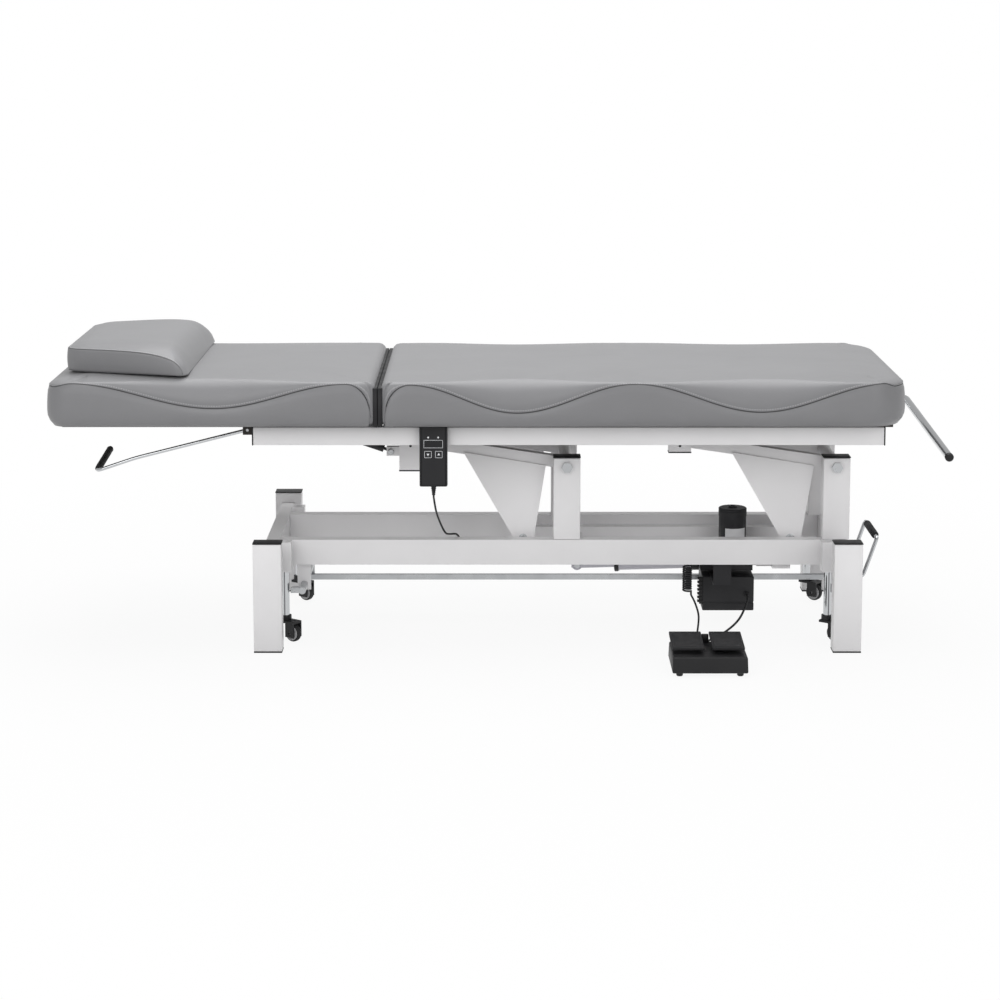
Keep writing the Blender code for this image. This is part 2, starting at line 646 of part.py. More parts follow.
def build_base(root):
    for side, leg_x in (("left", LEG_LEFT_X), ("right", LEG_RIGHT_X)):
        for face, way in SIDES_Y:
            middle = way * LEG_Y
            shape = box(
                leg_x - LEG_WIDE / 2,
                leg_x + LEG_WIDE / 2,
                middle - LEG_DEEP / 2,
                middle + LEG_DEEP / 2,
                0,
                LEG_TALL,
            )
            place("leg_" + face + "_" + side, shape, (leg_x, middle, 0), WHITE_STEEL, root)

        inward = 1 if side == "left" else -1
        end_y = LEG_INNER_Y - GAP
        rail = box(
            leg_x - RAIL_WIDE / 2,
            leg_x + RAIL_WIDE / 2,
            -end_y,
            end_y,
            RAIL_LOW_Z,
            RAIL_TOP_Z,
        )
        made = place("cross_rail_" + side, rail, (leg_x, 0, RAIL_LOW_Z), WHITE_STEEL, root)
        stem_x = leg_x + inward * STEM_OFF_X
        for _, way in SIDES_Y:
            inner = leg_x + inward * (RAIL_WIDE / 2 - WELD)
            outer = stem_x + inward * SLEEVE_WIDE / 2
            sleeve = box(
                min(inner, outer),
                max(inner, outer),
                way * STEM_Y - SLEEVE_WIDE / 2,
                way * STEM_Y + SLEEVE_WIDE / 2,
                RAIL_LOW_Z - SLEEVE_UNDER,
                RAIL_TOP_Z + SLEEVE_OVER,
            )
            fuse(made, sleeve)
        for _, way in SIDES_Y:
            bore = bar(
                (stem_x, way * STEM_Y, RAIL_LOW_Z - SLEEVE_UNDER - CUT_OVERRUN),
                (stem_x, way * STEM_Y, RAIL_TOP_Z + SLEEVE_OVER + CUT_OVERRUN),
                STEM_R + STEM_CLEAR,
                BUSH_SIDES,
            )
            cut(made, bore)
        if side == "right":
            for _, way in SIDES_Y:
                bearing, hole = lift_bearing(
                    LIFT_RIGHT_X, LIFT_Z, way * LIFT_RIGHT_BEARING_Y, RAIL_LOW_Z + WELD
                )
                fuse(made, bearing)
                cut(made, hole)

    left_end = LEG_LEFT_X + RAIL_WIDE / 2 + GAP
    right_end = LEG_RIGHT_X - RAIL_WIDE / 2 - GAP
    for face, way in SIDES_Y:
        middle = way * SIDE_RAIL_Y
        rail = box(
            left_end,
            right_end,
            middle - RAIL_WIDE / 2,
            middle + RAIL_WIDE / 2,
            RAIL_LOW_Z,
            RAIL_TOP_Z,
        )
        pivot = (left_end, middle, RAIL_LOW_Z)
        made = place("side_rail_" + face, rail, pivot, WHITE_STEEL, root)
        bearing, hole = lift_bearing(LIFT_LEFT_X, LIFT_Z, middle, RAIL_LOW_Z + WELD)
        fuse(made, bearing)
        cut(made, hole)

    for side, pivot_x in PIVOT_XS:
        for face, way in SIDES_Y:
            low_y, high_y = sorted((way * UPRIGHT_IN_Y, way * SIDE_RAIL_OUT_Y))
            shape = box(
                pivot_x - UPRIGHT_WIDE / 2,
                pivot_x + UPRIGHT_WIDE / 2,
                low_y,
                high_y,
                UPRIGHT_LOW_Z,
                UPRIGHT_LOW_Z + UPRIGHT_TALL,
            )
            name = "upright_" + face + "_" + side
            home = (pivot_x, way * SIDE_RAIL_Y, UPRIGHT_LOW_Z)
            made = place(name, shape, home, WHITE_STEEL, root)
            hole_r = PIVOT_SHAFT_R + GAP
            low_y -= CUT_OVERRUN
            high_y += CUT_OVERRUN
            cut(made, across_bar(pivot_x, PIVOT_Z, low_y, high_y, hole_r, BUSH_SIDES))
        head_at = SIDE_RAIL_OUT_Y + GAP
        full = 2 * (head_at + HEX_HEAD_TALL)
        profile = (
            (0, HEX_HEAD_R),
            (HEX_HEAD_TALL, HEX_HEAD_R),
            (HEX_HEAD_TALL, PIVOT_SHAFT_R),
            (full - HEX_HEAD_TALL, PIVOT_SHAFT_R),
            (full - HEX_HEAD_TALL, HEX_HEAD_R),
            (full, HEX_HEAD_R),
        )
        start = (pivot_x, -full / 2, PIVOT_Z)
        end = (pivot_x, full / 2, PIVOT_Z)
        shape = turned(start, end, profile, 12, hexes=(0, 1, 4, 5))
        place("pivot_shaft_" + side, shape, (pivot_x, 0, PIVOT_Z), GREY_METAL, root)


def build_arms(root):
    """Two lift arms, turning on the lower shafts, and the bar between their gussets."""
    for side, pivot_x in PIVOT_XS:
        top_x = pivot_x - ARM_REACH_X
        bush_half = UPRIGHT_IN_Y - GAP
        lower = across_bar(pivot_x, PIVOT_Z, -bush_half, bush_half, ARM_BUSH_R, BUSH_SIDES)
        made = place("lift_arm_" + side, lower, (pivot_x, 0, PIVOT_Z), WHITE_STEEL, root)
        upper = across_bar(top_x, TOP_PIVOT_Z, -ARM_OUT_Y, ARM_OUT_Y, ARM_BUSH_R, BUSH_SIDES)
        fuse(made, upper)
        for _, way in SIDES_Y:
            inner, outer = sorted((way * (ARM_TUBE_Y - ARM_TUBE_WIDE / 2), way * ARM_OUT_Y))
            tube = square_tube(
                (top_x, TOP_PIVOT_Z), (pivot_x, PIVOT_Z), ARM_TUBE_TALL, inner, outer
            )
            outline = (
                (pivot_x - GUSSET_TOP_LEFT_OUT, PIVOT_Z + GUSSET_TOP_LEFT_UP),
                (pivot_x - GUSSET_LOW_LEFT_OUT, TIE_PIN_Z - GUSSET_TIP),
                (pivot_x - GUSSET_LOW_RIGHT_OUT, TIE_PIN_Z - GUSSET_TIP),
                (pivot_x - GUSSET_TOP_RIGHT_OUT, PIVOT_Z - GUSSET_TOP_RIGHT_DROP),
            )
            plate_ys = sorted((way * (ARM_OUT_Y - WELD), way * GUSSET_OUT_Y))
            fuse(made, tube, side_plate(outline, *plate_ys))
        pin = across_bar(
            pivot_x - TIE_PIN_OUT_X,
            TIE_PIN_Z,
            ARM_OUT_Y - TIE_PIN_REACH,
            GUSSET_OUT_Y - WELD,
            TIE_PIN_R,
        )
        fuse(made, pin)
        for x, z, r in (
            (pivot_x, PIVOT_Z, PIVOT_SHAFT_R + GAP),
            (top_x, TOP_PIVOT_Z, TOP_PIN_R + GAP),
        ):
            end_y = UPRIGHT_IN_Y + CUT_OVERRUN
            cut(made, across_bar(x, z, -end_y, end_y, r, BUSH_SIDES))

    left_x = PIVOT_LEFT_X - TIE_PIN_OUT_X
    right_x = PIVOT_RIGHT_X - TIE_PIN_OUT_X
    bar_top = TIE_PIN_Z - TIE_BAR_DROP
    low_y = TIE_BAR_Y - TIE_BAR_WIDE / 2
    high_y = TIE_BAR_Y + TIE_BAR_WIDE / 2
    half = TIE_LUG_WIDE / 2
    shape = box(left_x - half, right_x + half, low_y, high_y, TIE_BAR_LOW_Z, bar_top)
    made = place("tie_bar", shape, (left_x, 0, TIE_PIN_Z), WHITE_STEEL, root)
    for x in (left_x, right_x):
        lug_top = TIE_PIN_Z + TIE_LUG_OVER
        fuse(made, box(x - half, x + half, low_y, high_y, bar_top - WELD, lug_top))
    arm_half = ROD_BRACKET_WIDE / 2
    plate_in = ROD_EYE_THICK / 2 + ROD_BRACKET_CLEAR
    plate_out = plate_in + ROD_BRACKET_THICK
    arm_low = TIE_BAR_LOW_Z - ROD_BRACKET_LAP
    bracket_x = (ROD_PIN_X - arm_half, ROD_PIN_X + arm_half)
    fuse(
        made,
        box(*bracket_x, plate_in, low_y + WELD, arm_low, arm_low + ROD_BRACKET_TALL),
        box(*bracket_x, plate_in, plate_out, ROD_PIN_Z - ROD_BRACKET_DOWN, arm_low + WELD),
    )
    for x in (left_x, right_x):
        hole_ys = (low_y - CUT_OVERRUN, high_y + CUT_OVERRUN)
        cut(made, across_bar(x, TIE_PIN_Z, *hole_ys, TIE_PIN_R + GAP, BUSH_SIDES))


def build_actuator(root):
    """Gearbox, motor, outer tube and rod; the rear pin turns in the ears of a cross bar."""
    bar_top = RAIL_LOW_Z - GAP
    ear_in = TONGUE_DEEP / 2 + EAR_CLEAR
    ear_out = ear_in + EAR_THICK
    eye_r = TONGUE_TALL / 2
    low_x = REAR_PIN_X + eye_r + EAR_CLEAR
    high_x = low_x + CROSS_BAR_WIDE
    middle = (low_x + high_x) / 2
    bar_low = bar_top - CROSS_BAR_TALL
    shape = box(low_x, high_x, -SIDE_RAIL_Y, SIDE_RAIL_Y, bar_low, bar_top)
    made = place("actuator_cross_bar", shape, (middle, 0, bar_top), WHITE_STEEL, root)
    for _, way in SIDES_Y:
        low_y, high_y = sorted((way * ear_in, way * ear_out))
        ear = box(
            REAR_PIN_X - EAR_WIDE / 2,
            middle,
            low_y,
            high_y,
            REAR_PIN_Z - EAR_WIDE / 2,
            bar_top - WELD,
        )
        fuse(made, ear)
    pin_end = ear_out + CUT_OVERRUN
    cut(made, across_bar(REAR_PIN_X, REAR_PIN_Z, -pin_end, pin_end, REAR_PIN_R + GAP))

    rod_line = Vector((ROD_PIN_X - REAR_PIN_X, 0, ROD_PIN_Z - REAR_PIN_Z)).normalized()
    front_x = GEARBOX_BACK_X - GEARBOX_LONG
    mid_z = REAR_PIN_Z
    shape = box(
        front_x,
        GEARBOX_BACK_X,
        -GEARBOX_DEEP / 2,
        GEARBOX_DEEP / 2,
        mid_z - GEARBOX_TALL / 2,
        mid_z + GEARBOX_TALL / 2,
    )
    pivot = (REAR_PIN_X, 0, REAR_PIN_Z)
    made = place("actuator_gearbox", shape, pivot, BLACK_PLASTIC, root)
    tongue_half = TONGUE_DEEP / 2
    tongue = box(
        GEARBOX_BACK_X - WELD,
        REAR_PIN_X,
        -tongue_half,
        tongue_half,
        mid_z - TONGUE_TALL / 2,
        mid_z + TONGUE_TALL / 2,
    )
    motor = bar((MOTOR_X, 0, mid_z), (MOTOR_X, 0, MOTOR_TOP_Z), MOTOR_R, WHEEL_SIDES)
    eye = across_bar(REAR_PIN_X, REAR_PIN_Z, -tongue_half, tongue_half, eye_r)
    pin = across_bar(REAR_PIN_X, REAR_PIN_Z, -ear_out, ear_out, REAR_PIN_R)
    fuse(made, tongue, eye, motor, pin)

    tube_start = Vector(pivot) + rod_line * (REAR_PIN_X - front_x + GAP * 2)
    tube_long = front_x - ROD_PIN_X - ROD_SHOWS
    tube_end = tube_start + rod_line * tube_long
    profile = (
        (0, TUBE_R),
        (tube_long - TUBE_RING_LONG, TUBE_R),
        (tube_long - TUBE_RING_LONG, TUBE_RING_R),
        (tube_long, TUBE_RING_R),
    )
    shape = turned(tube_start, tube_end, profile)
    made = place("actuator_tube", shape, pivot, GREY_METAL, root)
    rod_inside = tube_long - ROD_END_CLEAR
    bore_start = tube_end - rod_line * (rod_inside + CUT_OVERRUN)
    cut(made, bar(bore_start, tube_end + rod_line * CUT_OVERRUN, ROD_R + GAP, BUSH_SIDES))

    eye_at = Vector((ROD_PIN_X, 0, ROD_PIN_Z))
    shape = bar(tube_end - rod_line * rod_inside, eye_at, ROD_R)
    made = place("actuator_rod", shape, eye_at, GREY_METAL, root)
    half = ROD_EYE_THICK / 2
    fuse(made, across_bar(ROD_PIN_X, ROD_PIN_Z, -half, half, ROD_EYE_R))
    hole = half + CUT_OVERRUN
    cut(made, across_bar(ROD_PIN_X, ROD_PIN_Z, -hole, hole, REAR_PIN_R, BUSH_SIDES))


def build_control_box(root):
    low_y = BOX_Y - BOX_DEEP / 2
    top_z = BOX_LOW_Z + BOX_TALL
    shape = box(
        BOX_X - BOX_WIDE / 2,
        BOX_X + BOX_WIDE / 2,
        low_y,
        low_y + BOX_DEEP,
        BOX_LOW_Z,
        top_z,
    )
    made = place("control_box", shape, (BOX_X, BOX_Y, top_z), BLACK_PLASTIC, root)
    strap_x = (STRAP_X - STRAP_WIDE / 2, STRAP_X + STRAP_WIDE / 2)
    rail_z = RAIL_LOW_Z - GAP
    across = box(*strap_x, -SIDE_RAIL_Y, SIDE_RAIL_Y, top_z - WELD, top_z + STRAP_THICK)
    fuse(made, across)
    for _, way in SIDES_Y:
        low, high = sorted((way * SIDE_RAIL_Y, way * (SIDE_RAIL_Y - STRAP_THICK)))
        fuse(made, box(*strap_x, low, high, top_z - WELD, rail_z))
    gland = bar(
        (BOX_GLAND_X, low_y + WELD, BOX_GLAND_Z),
        (BOX_GLAND_X, low_y - BOX_GLAND_LONG, BOX_GLAND_Z),
        BOX_GLAND_R,
        ROD_SIDES,
    )
    fuse(made, gland)


def build_foot_switch(root):
    left = SWITCH_X - SWITCH_WIDE / 2
    right = SWITCH_X + SWITCH_WIDE / 2
    shape = box(left, right, SWITCH_FRONT_Y, SWITCH_BACK_Y, SWITCH_FOOT_TALL, SWITCH_TOP_Z)
    middle = (SWITCH_X, (SWITCH_FRONT_Y + SWITCH_BACK_Y) / 2, 0)
    made = place("foot_switch_base", shape, middle, BLACK_PLASTIC, root)
    for foot_x in (left, right - SWITCH_FOOT_WIDE):
        for foot_y in (SWITCH_FRONT_Y, SWITCH_BACK_Y - SWITCH_FOOT_WIDE):
            foot = box(
                foot_x,
                foot_x + SWITCH_FOOT_WIDE,
                foot_y,
                foot_y + SWITCH_FOOT_WIDE,
                0,
                SWITCH_FOOT_TALL + WELD,
            )
            fuse(made, foot)
    hinge_y = SWITCH_BACK_Y - PEDAL_PIN_INSET
    hinge_z = (SWITCH_TOP_Z + PEDAL_BACK_Z) / 2
    pedals = (("left", PEDAL_LEFT_X), ("right", PEDAL_RIGHT_X))
    half = PEDAL_WIDE / 2 + GAP
    ears = (
        (left + GAP, PEDAL_LEFT_X - half),
        (PEDAL_LEFT_X + half, PEDAL_RIGHT_X - half),
        (PEDAL_RIGHT_X + half, right - GAP),
    )
    for near, far in ears:
        ear = box(
            near,
            far,
            hinge_y - 2 * PEDAL_PIN_R,
            hinge_y + 2 * PEDAL_PIN_R - WELD,
            SWITCH_TOP_Z - WELD,
            hinge_z + 2 * PEDAL_PIN_R,
        )
        fuse(made, ear)
    bore_x = (left - CUT_OVERRUN, right + CUT_OVERRUN)
    ends = [(x, hinge_y, hinge_z) for x in bore_x]
    cut(made, bar(*ends, PEDAL_PIN_R + GAP, ROD_SIDES))
    for side, x in pedals:
        front_y = hinge_y - PEDAL_DEEP
        back_y = hinge_y + 2 * PEDAL_PIN_R
        under_back = SWITCH_TOP_Z + PEDAL_UNDER_GAP + 2 * PEDAL_PIN_R
        outline = (
            (front_y, PEDAL_FRONT_Z - PEDAL_EDGE_TALL),
            (back_y, under_back),
            (back_y, PEDAL_BACK_Z),
            (front_y, PEDAL_FRONT_Z),
        )
        ends = (x - PEDAL_WIDE / 2, x + PEDAL_WIDE / 2)
        rings = [[(px, y, z) for y, z in outline] for px in ends]
        pivot = (x, hinge_y, hinge_z)
        made = place("pedal_" + side, rings_shape(rings), pivot, BLACK_RUBBER, root)
        reach = PEDAL_WIDE / 2 + PEDAL_PIN_REACH
        fuse(made, bar((x - reach, hinge_y, hinge_z), (x + reach, hinge_y, hinge_z), PEDAL_PIN_R))


def build_casters(root):
    cheek_in = WHEEL_WIDE / 2 + FORK_CHEEK_CLEAR
    cheek_out = cheek_in + FORK_CHEEK_THICK
    plate_top = FORK_PLATE_Z + FORK_PLATE_THICK
    cheek_x = (TRAIL - FORK_CHEEK_WIDE / 2, TRAIL + FORK_CHEEK_WIDE / 2)
    for side, leg_x, inward in (("left", LEG_LEFT_X, 1), ("right", LEG_RIGHT_X, -1)):
        stem_x = leg_x + inward * STEM_OFF_X
        for face, way in SIDES_Y:
            tail = "_" + face + "_" + side
            low = (stem_x, way * STEM_Y, STEM_LOW_Z + GAP)
            high = (stem_x, way * STEM_Y, STEM_TOP_Z)
            place("caster_stem" + tail, bar(low, high, STEM_R, BUSH_SIDES), low, CHROME, root)
            home = Matrix.Translation((stem_x, way * STEM_Y, 0))
            home = home @ Matrix.Rotation(FORK_REST_TURN, 4, "Z")
            boss = bar((0, 0, plate_top - WELD), (0, 0, STEM_LOW_Z), FORK_BOSS_R)
            swivel = (stem_x, way * STEM_Y, STEM_LOW_Z)
            name = "caster_fork" + tail
            fork = place(name, moved(boss, home), swivel, BLACK_PLASTIC, root)
            plate = box(-FORK_BOSS_R, cheek_x[1], -cheek_out, cheek_out, FORK_PLATE_Z, plate_top)
            fuse(fork, moved(plate, home))
            cheek_low = WHEEL_Z - FORK_CHEEK_DROP
            for half in ((-cheek_out, -cheek_in), (cheek_in, cheek_out)):
                fuse(fork, moved(box(*cheek_x, *half, cheek_low, FORK_PLATE_Z + WELD), home))
            hole_y = cheek_out + CUT_OVERRUN
            hole = across_bar(TRAIL, WHEEL_Z, -hole_y, hole_y, AXLE_R + GAP, ROD_SIDES)
            cut(fork, moved(hole, home))
            side_at = AXLE_HALF - WHEEL_WIDE / 2
            full = 2 * AXLE_HALF
            profile = (
                (0, AXLE_R),
                (side_at, AXLE_R),
                (side_at, WHEEL_R - WHEEL_EDGE),
                (side_at + WHEEL_EDGE, WHEEL_R),
                (full - side_at - WHEEL_EDGE, WHEEL_R),
                (full - side_at, WHEEL_R - WHEEL_EDGE),
                (full - side_at, AXLE_R),
                (full, AXLE_R),
            )
            start = (TRAIL, -AXLE_HALF, WHEEL_Z)
            end = (TRAIL, AXLE_HALF, WHEEL_Z)
            wheel = moved(turned(start, end, profile, WHEEL_SIDES), home)
            hub = home @ Vector((TRAIL, 0, WHEEL_Z))
            place("caster_wheel" + tail, wheel, hub, BLACK_RUBBER, root)


def build_caster_lift(root):
    """Two cross shafts whose levers lower the casters, the bar between them, foot lever."""
    arm_near = LINK_BAR_Y + LINK_BAR_WIDE / 2 + LINK_BAR_CLEAR
    arm_low = LIFT_Z - LINK_ARM_DROP - LINK_BAR_TALL / 2
    sides = (("left", LIFT_LEFT_X, LEG_LEFT_X, 1), ("right", LIFT_RIGHT_X, LEG_RIGHT_X, -1))
    for side, x, leg_x, inward in sides:
        shape = across_bar(x, LIFT_Z, -LIFT_SHAFT_HALF, LIFT_SHAFT_HALF, LIFT_SHAFT_R, BUSH_SIDES)
        name = "lift_shaft_left" if side == "left" else "lift_shaft_foot_lever"
        made = place(name, shape, (x, 0, LIFT_Z), GREY_METAL, root)
        tip_x = leg_x + inward * STEM_OFF_X + STEM_R + LIFT_LEVER_CLEAR
        for _, way in SIDES_Y:
            near = way * STEM_Y - LIFT_LEVER_THICK / 2
            lever_low = LIFT_Z - LIFT_LEVER_TALL / 2
            lever = box(
                tip_x, x, near, near + LIFT_LEVER_THICK, lever_low, lever_low + LIFT_LEVER_TALL
            )
            fuse(made, lever)
        arm = box(
            x - LINK_ARM_WIDE / 2,
            x + LINK_ARM_WIDE / 2,
            arm_near,
            arm_near + LINK_ARM_THICK,
            arm_low,
            LIFT_Z,
        )
        fuse(made, arm)
        if side == "right":
            half_path = [
                (x, LIFT_Z),
                (x + FOOT_LEVER_OUT_1, LIFT_Z + FOOT_LEVER_UP_1),
                (x + FOOT_LEVER_OUT_2, LIFT_Z + FOOT_LEVER_UP_2),
                (x + FOOT_LEVER_OUT_3, LIFT_Z + FOOT_LEVER_UP_3),
            ]
            points = [(px, -FOOT_LEVER_Y, pz) for px, pz in half_path]
            points += [(px, FOOT_LEVER_Y, pz) for px, pz in reversed(half_path)]
            hoop = swept(rounded_path(points, FOOT_LEVER_BEND, 4), FOOT_LEVER_R, ROD_SIDES)
            grip_x, grip_z = half_path[-1]
            grip = across_bar(grip_x, grip_z, -FOOT_GRIP_HALF, FOOT_GRIP_HALF, FOOT_GRIP_R)
            fuse(made, hoop, grip)
    middle = LIFT_Z - LINK_ARM_DROP
    shape = box(
        LIFT_LEFT_X - LINK_BAR_OVER,
        LIFT_RIGHT_X + LINK_BAR_OVER,
        LINK_BAR_Y - LINK_BAR_WIDE / 2,
        LINK_BAR_Y + LINK_BAR_WIDE / 2,
        middle - LINK_BAR_TALL / 2,
        middle + LINK_BAR_TALL / 2,
    )
    place("caster_link_bar", shape, (LIFT_LEFT_X, LINK_BAR_Y, middle), GREY_METAL, root)


def build_top(root):
    pivot = (TOP_PIVOT_X, 0, TOP_PIVOT_Z)
    for face, way in SIDES_Y:
        low_y, high_y = sorted((way * TOP_RAIL_IN_Y, way * TOP_RAIL_OUT_Y))
        shape = box(TOP_LEFT_X, TOP_RIGHT_X, low_y, high_y, TOP_RAIL_LOW_Z, TOP_RAIL_TOP_Z)
        place("top_rail_" + face, shape, pivot, WHITE_STEEL, root)
    end_y = TOP_RAIL_IN_Y - GAP
    for side, pivot_x, stub_low in (
        ("left", PIVOT_LEFT_X, LEFT_STUB_LOW_Z),
        ("right", PIVOT_RIGHT_X, RIGHT_STUB_LOW_Z),
    ):
        x = pivot_x - ARM_REACH_X
        span = (x - TOP_CROSS_WIDE / 2, x + TOP_CROSS_WIDE / 2)
        shape = box(*span, -end_y, end_y, TOP_RAIL_LOW_Z, TOP_RAIL_TOP_Z)
        made = place("top_cross_" + side, shape, (x, 0, TOP_PIVOT_Z), WHITE_STEEL, root)
        for _, way in SIDES_Y:
            low_y, high_y = sorted((way * STUB_IN_Y, way * (STUB_IN_Y + STUB_THICK)))
            fuse(made, box(*span, low_y, high_y, stub_low, TOP_RAIL_LOW_Z + WELD))
        pin_end = STUB_IN_Y + STUB_THICK / 2
        fuse(made, across_bar(x, TOP_PIVOT_Z, -pin_end, pin_end, TOP_PIN_R, ROUND_SIDES))
        if side == "left":
            ear_from = STRUT_EYE_THICK / 2 + STRUT_EAR_CLEAR
            ear_half = STRUT_EAR_WIDE / 2
            for way in (-1, 1):
                near = STRUT_Y + way * ear_from
                far = near + way * STRUT_EAR_THICK
                low_y, high_y = sorted((near, far))
                ear = box(
                    STRUT_LOW_X - ear_half,
                    span[0] + WELD,
                    low_y,
                    high_y,
                    STRUT_LOW_Z - ear_half,
                    STRUT_LOW_Z + ear_half,
                )
                fuse(made, ear)
            reach = ear_from + STRUT_EAR_THICK + WELD
            hole = (STRUT_Y - reach, STRUT_Y + reach)
            cut(made, across_bar(STRUT_LOW_X, STRUT_LOW_Z, *hole, STRUT_PIN_R + GAP, ROUND_SIDES))
    high_x = TOP_RIGHT_X - TOP_END_CROSS_INSET
    low_x = high_x - TOP_END_CROSS_WIDE
    shape = box(low_x, high_x, -end_y, end_y, TOP_RAIL_LOW_Z, TOP_RAIL_TOP_Z)
    place("top_cross_foot", shape, pivot, WHITE_STEEL, root)


CORNER_STEPS = 5
EDGE_STEPS = 8
END_STEPS = 6
LEAST_CORNER_SHARE = 0.3
SIDE_SHARES = ((0.0, 0.45), (0.05, 0.1), (0.14, 0.0), (0.8, 0.0), (0.93, 0.3))
WAIST_SHARE = 0.45
CROWN_SHARES = ((0.03, 0.0), (0.09, 0.35), (0.22, 0.7), (0.45, 0.94), (0.8, 1.0))


def plan_outline(x_low, x_high, half_low, half_high, inset, corner_low, corner_high):
    """A four-sided plan with round corners, counter-clockwise from above.

    half_low and half_high are the half depths at the two ends; every call gives as many
    points, so that rings at unlike insets join up.
    """
    a = Vector((x_low + inset, -half_low + inset))
    b = Vector((x_high - inset, -half_high + inset))
    c = Vector((x_high - inset, half_high - inset))
    d = Vector((x_low + inset, half_low - inset))
    radii = [max(r - inset, r * LEAST_CORNER_SHARE) for r in (corner_low, corner_high)]
    corners = ((a, radii[0]), (b, radii[1]), (c, radii[1]), (d, radii[0]))
    points = []
    for place_at in range(4):
        corner, radius = corners[place_at]
        before = corners[place_at - 1][0]
        after, next_radius = corners[(place_at + 1) % 4]
        start = corner + (before - corner).normalized() * radius
        end = corner + (after - corner).normalized() * radius
        for step in range(CORNER_STEPS + 1):
            share = step / CORNER_STEPS
            points.append(start.lerp(corner, share).lerp(corner.lerp(end, share), share))
        run_end = after + (corner - after).normalized() * next_radius
        count = EDGE_STEPS if place_at % 2 == 0 else END_STEPS
        for step in range(1, count):
            points.append(end.lerp(run_end, step / count))
    return points


def cushion(x_low, x_high, corner_low, corner_high, crown):
    """A flat-bottomed pad: sides drawn in at mid height, a soft upper edge, a low crown."""
    rings = []
    insets = [(height, share * CUSHION_EDGE_R) for height, share in SIDE_SHARES]
    for height_share, inset in sorted([*insets, (WAIST_SHARE, CUSHION_DRAW_IN)]):
        plan = plan_outline(
            x_low, x_high, CUSHION_HALF_Y, CUSHION_HALF_Y, inset, corner_low, corner_high
        )
        z = CUSHION_LOW_Z + height_share * CUSHION_TALL
        rings.append([(p.x, p.y, z) for p in plan])
    for inset_share, crown_share in CROWN_SHARES:
        inset = CUSHION_EDGE_R + inset_share * (CUSHION_HALF_Y - CUSHION_EDGE_R)
        plan = plan_outline(
            x_low, x_high, CUSHION_HALF_Y, CUSHION_HALF_Y, inset, corner_low, corner_high
        )
        z = CUSHION_TOP_Z + crown_share * crown
        rings.append([(p.x, p.y, z) for p in plan])
    return rings_shape(rings)


PILLOW_SIDE_SHARES = ((0.0, 0.5), (0.2, 0.0), (0.55, 0.1), (0.85, 0.1), (1.0, 0.5))
PILLOW_CROWN_SHARES = ((0.14, 0.45), (0.32, 0.8), (0.6, 1.0))


def pillow():
    """A wedge, tall at the head end, whose top falls off at a quickening rate."""

    def edge_height(x):
        share = (x - PILLOW_LEFT_X) / (PILLOW_RIGHT_X - PILLOW_LEFT_X)
        return PILLOW_TALL - PILLOW_SLOPE_DROP * share - PILLOW_LIP_DROP * share**5

    def plan_at(inset):
        return plan_outline(
            PILLOW_LEFT_X,
            PILLOW_RIGHT_X,
            PILLOW_LEFT_HALF_Y,
            PILLOW_RIGHT_HALF_Y,
            inset,
            PILLOW_CORNER,
            PILLOW_CORNER,
        )

    rings = []
    for height_share, inset_share in PILLOW_SIDE_SHARES:
        plan = plan_at(inset_share * CUSHION_EDGE_R)
        low = PILLOW_LOW_Z
        rings.append([(p.x, p.y, low + height_share * edge_height(p.x)) for p in plan])
    half_x = (PILLOW_RIGHT_X - PILLOW_LEFT_X) / 2
    for inset_share, crown_share in PILLOW_CROWN_SHARES:
        plan = plan_at(inset_share * half_x)
        ring = []
        for p in plan:
            fall = edge_height(p.x) / PILLOW_TALL
            height = edge_height(p.x) + crown_share * PILLOW_CROWN * fall
            ring.append((p.x, p.y, PILLOW_LOW_Z + height))
        rings.append(ring)
    return rings_shape(rings)


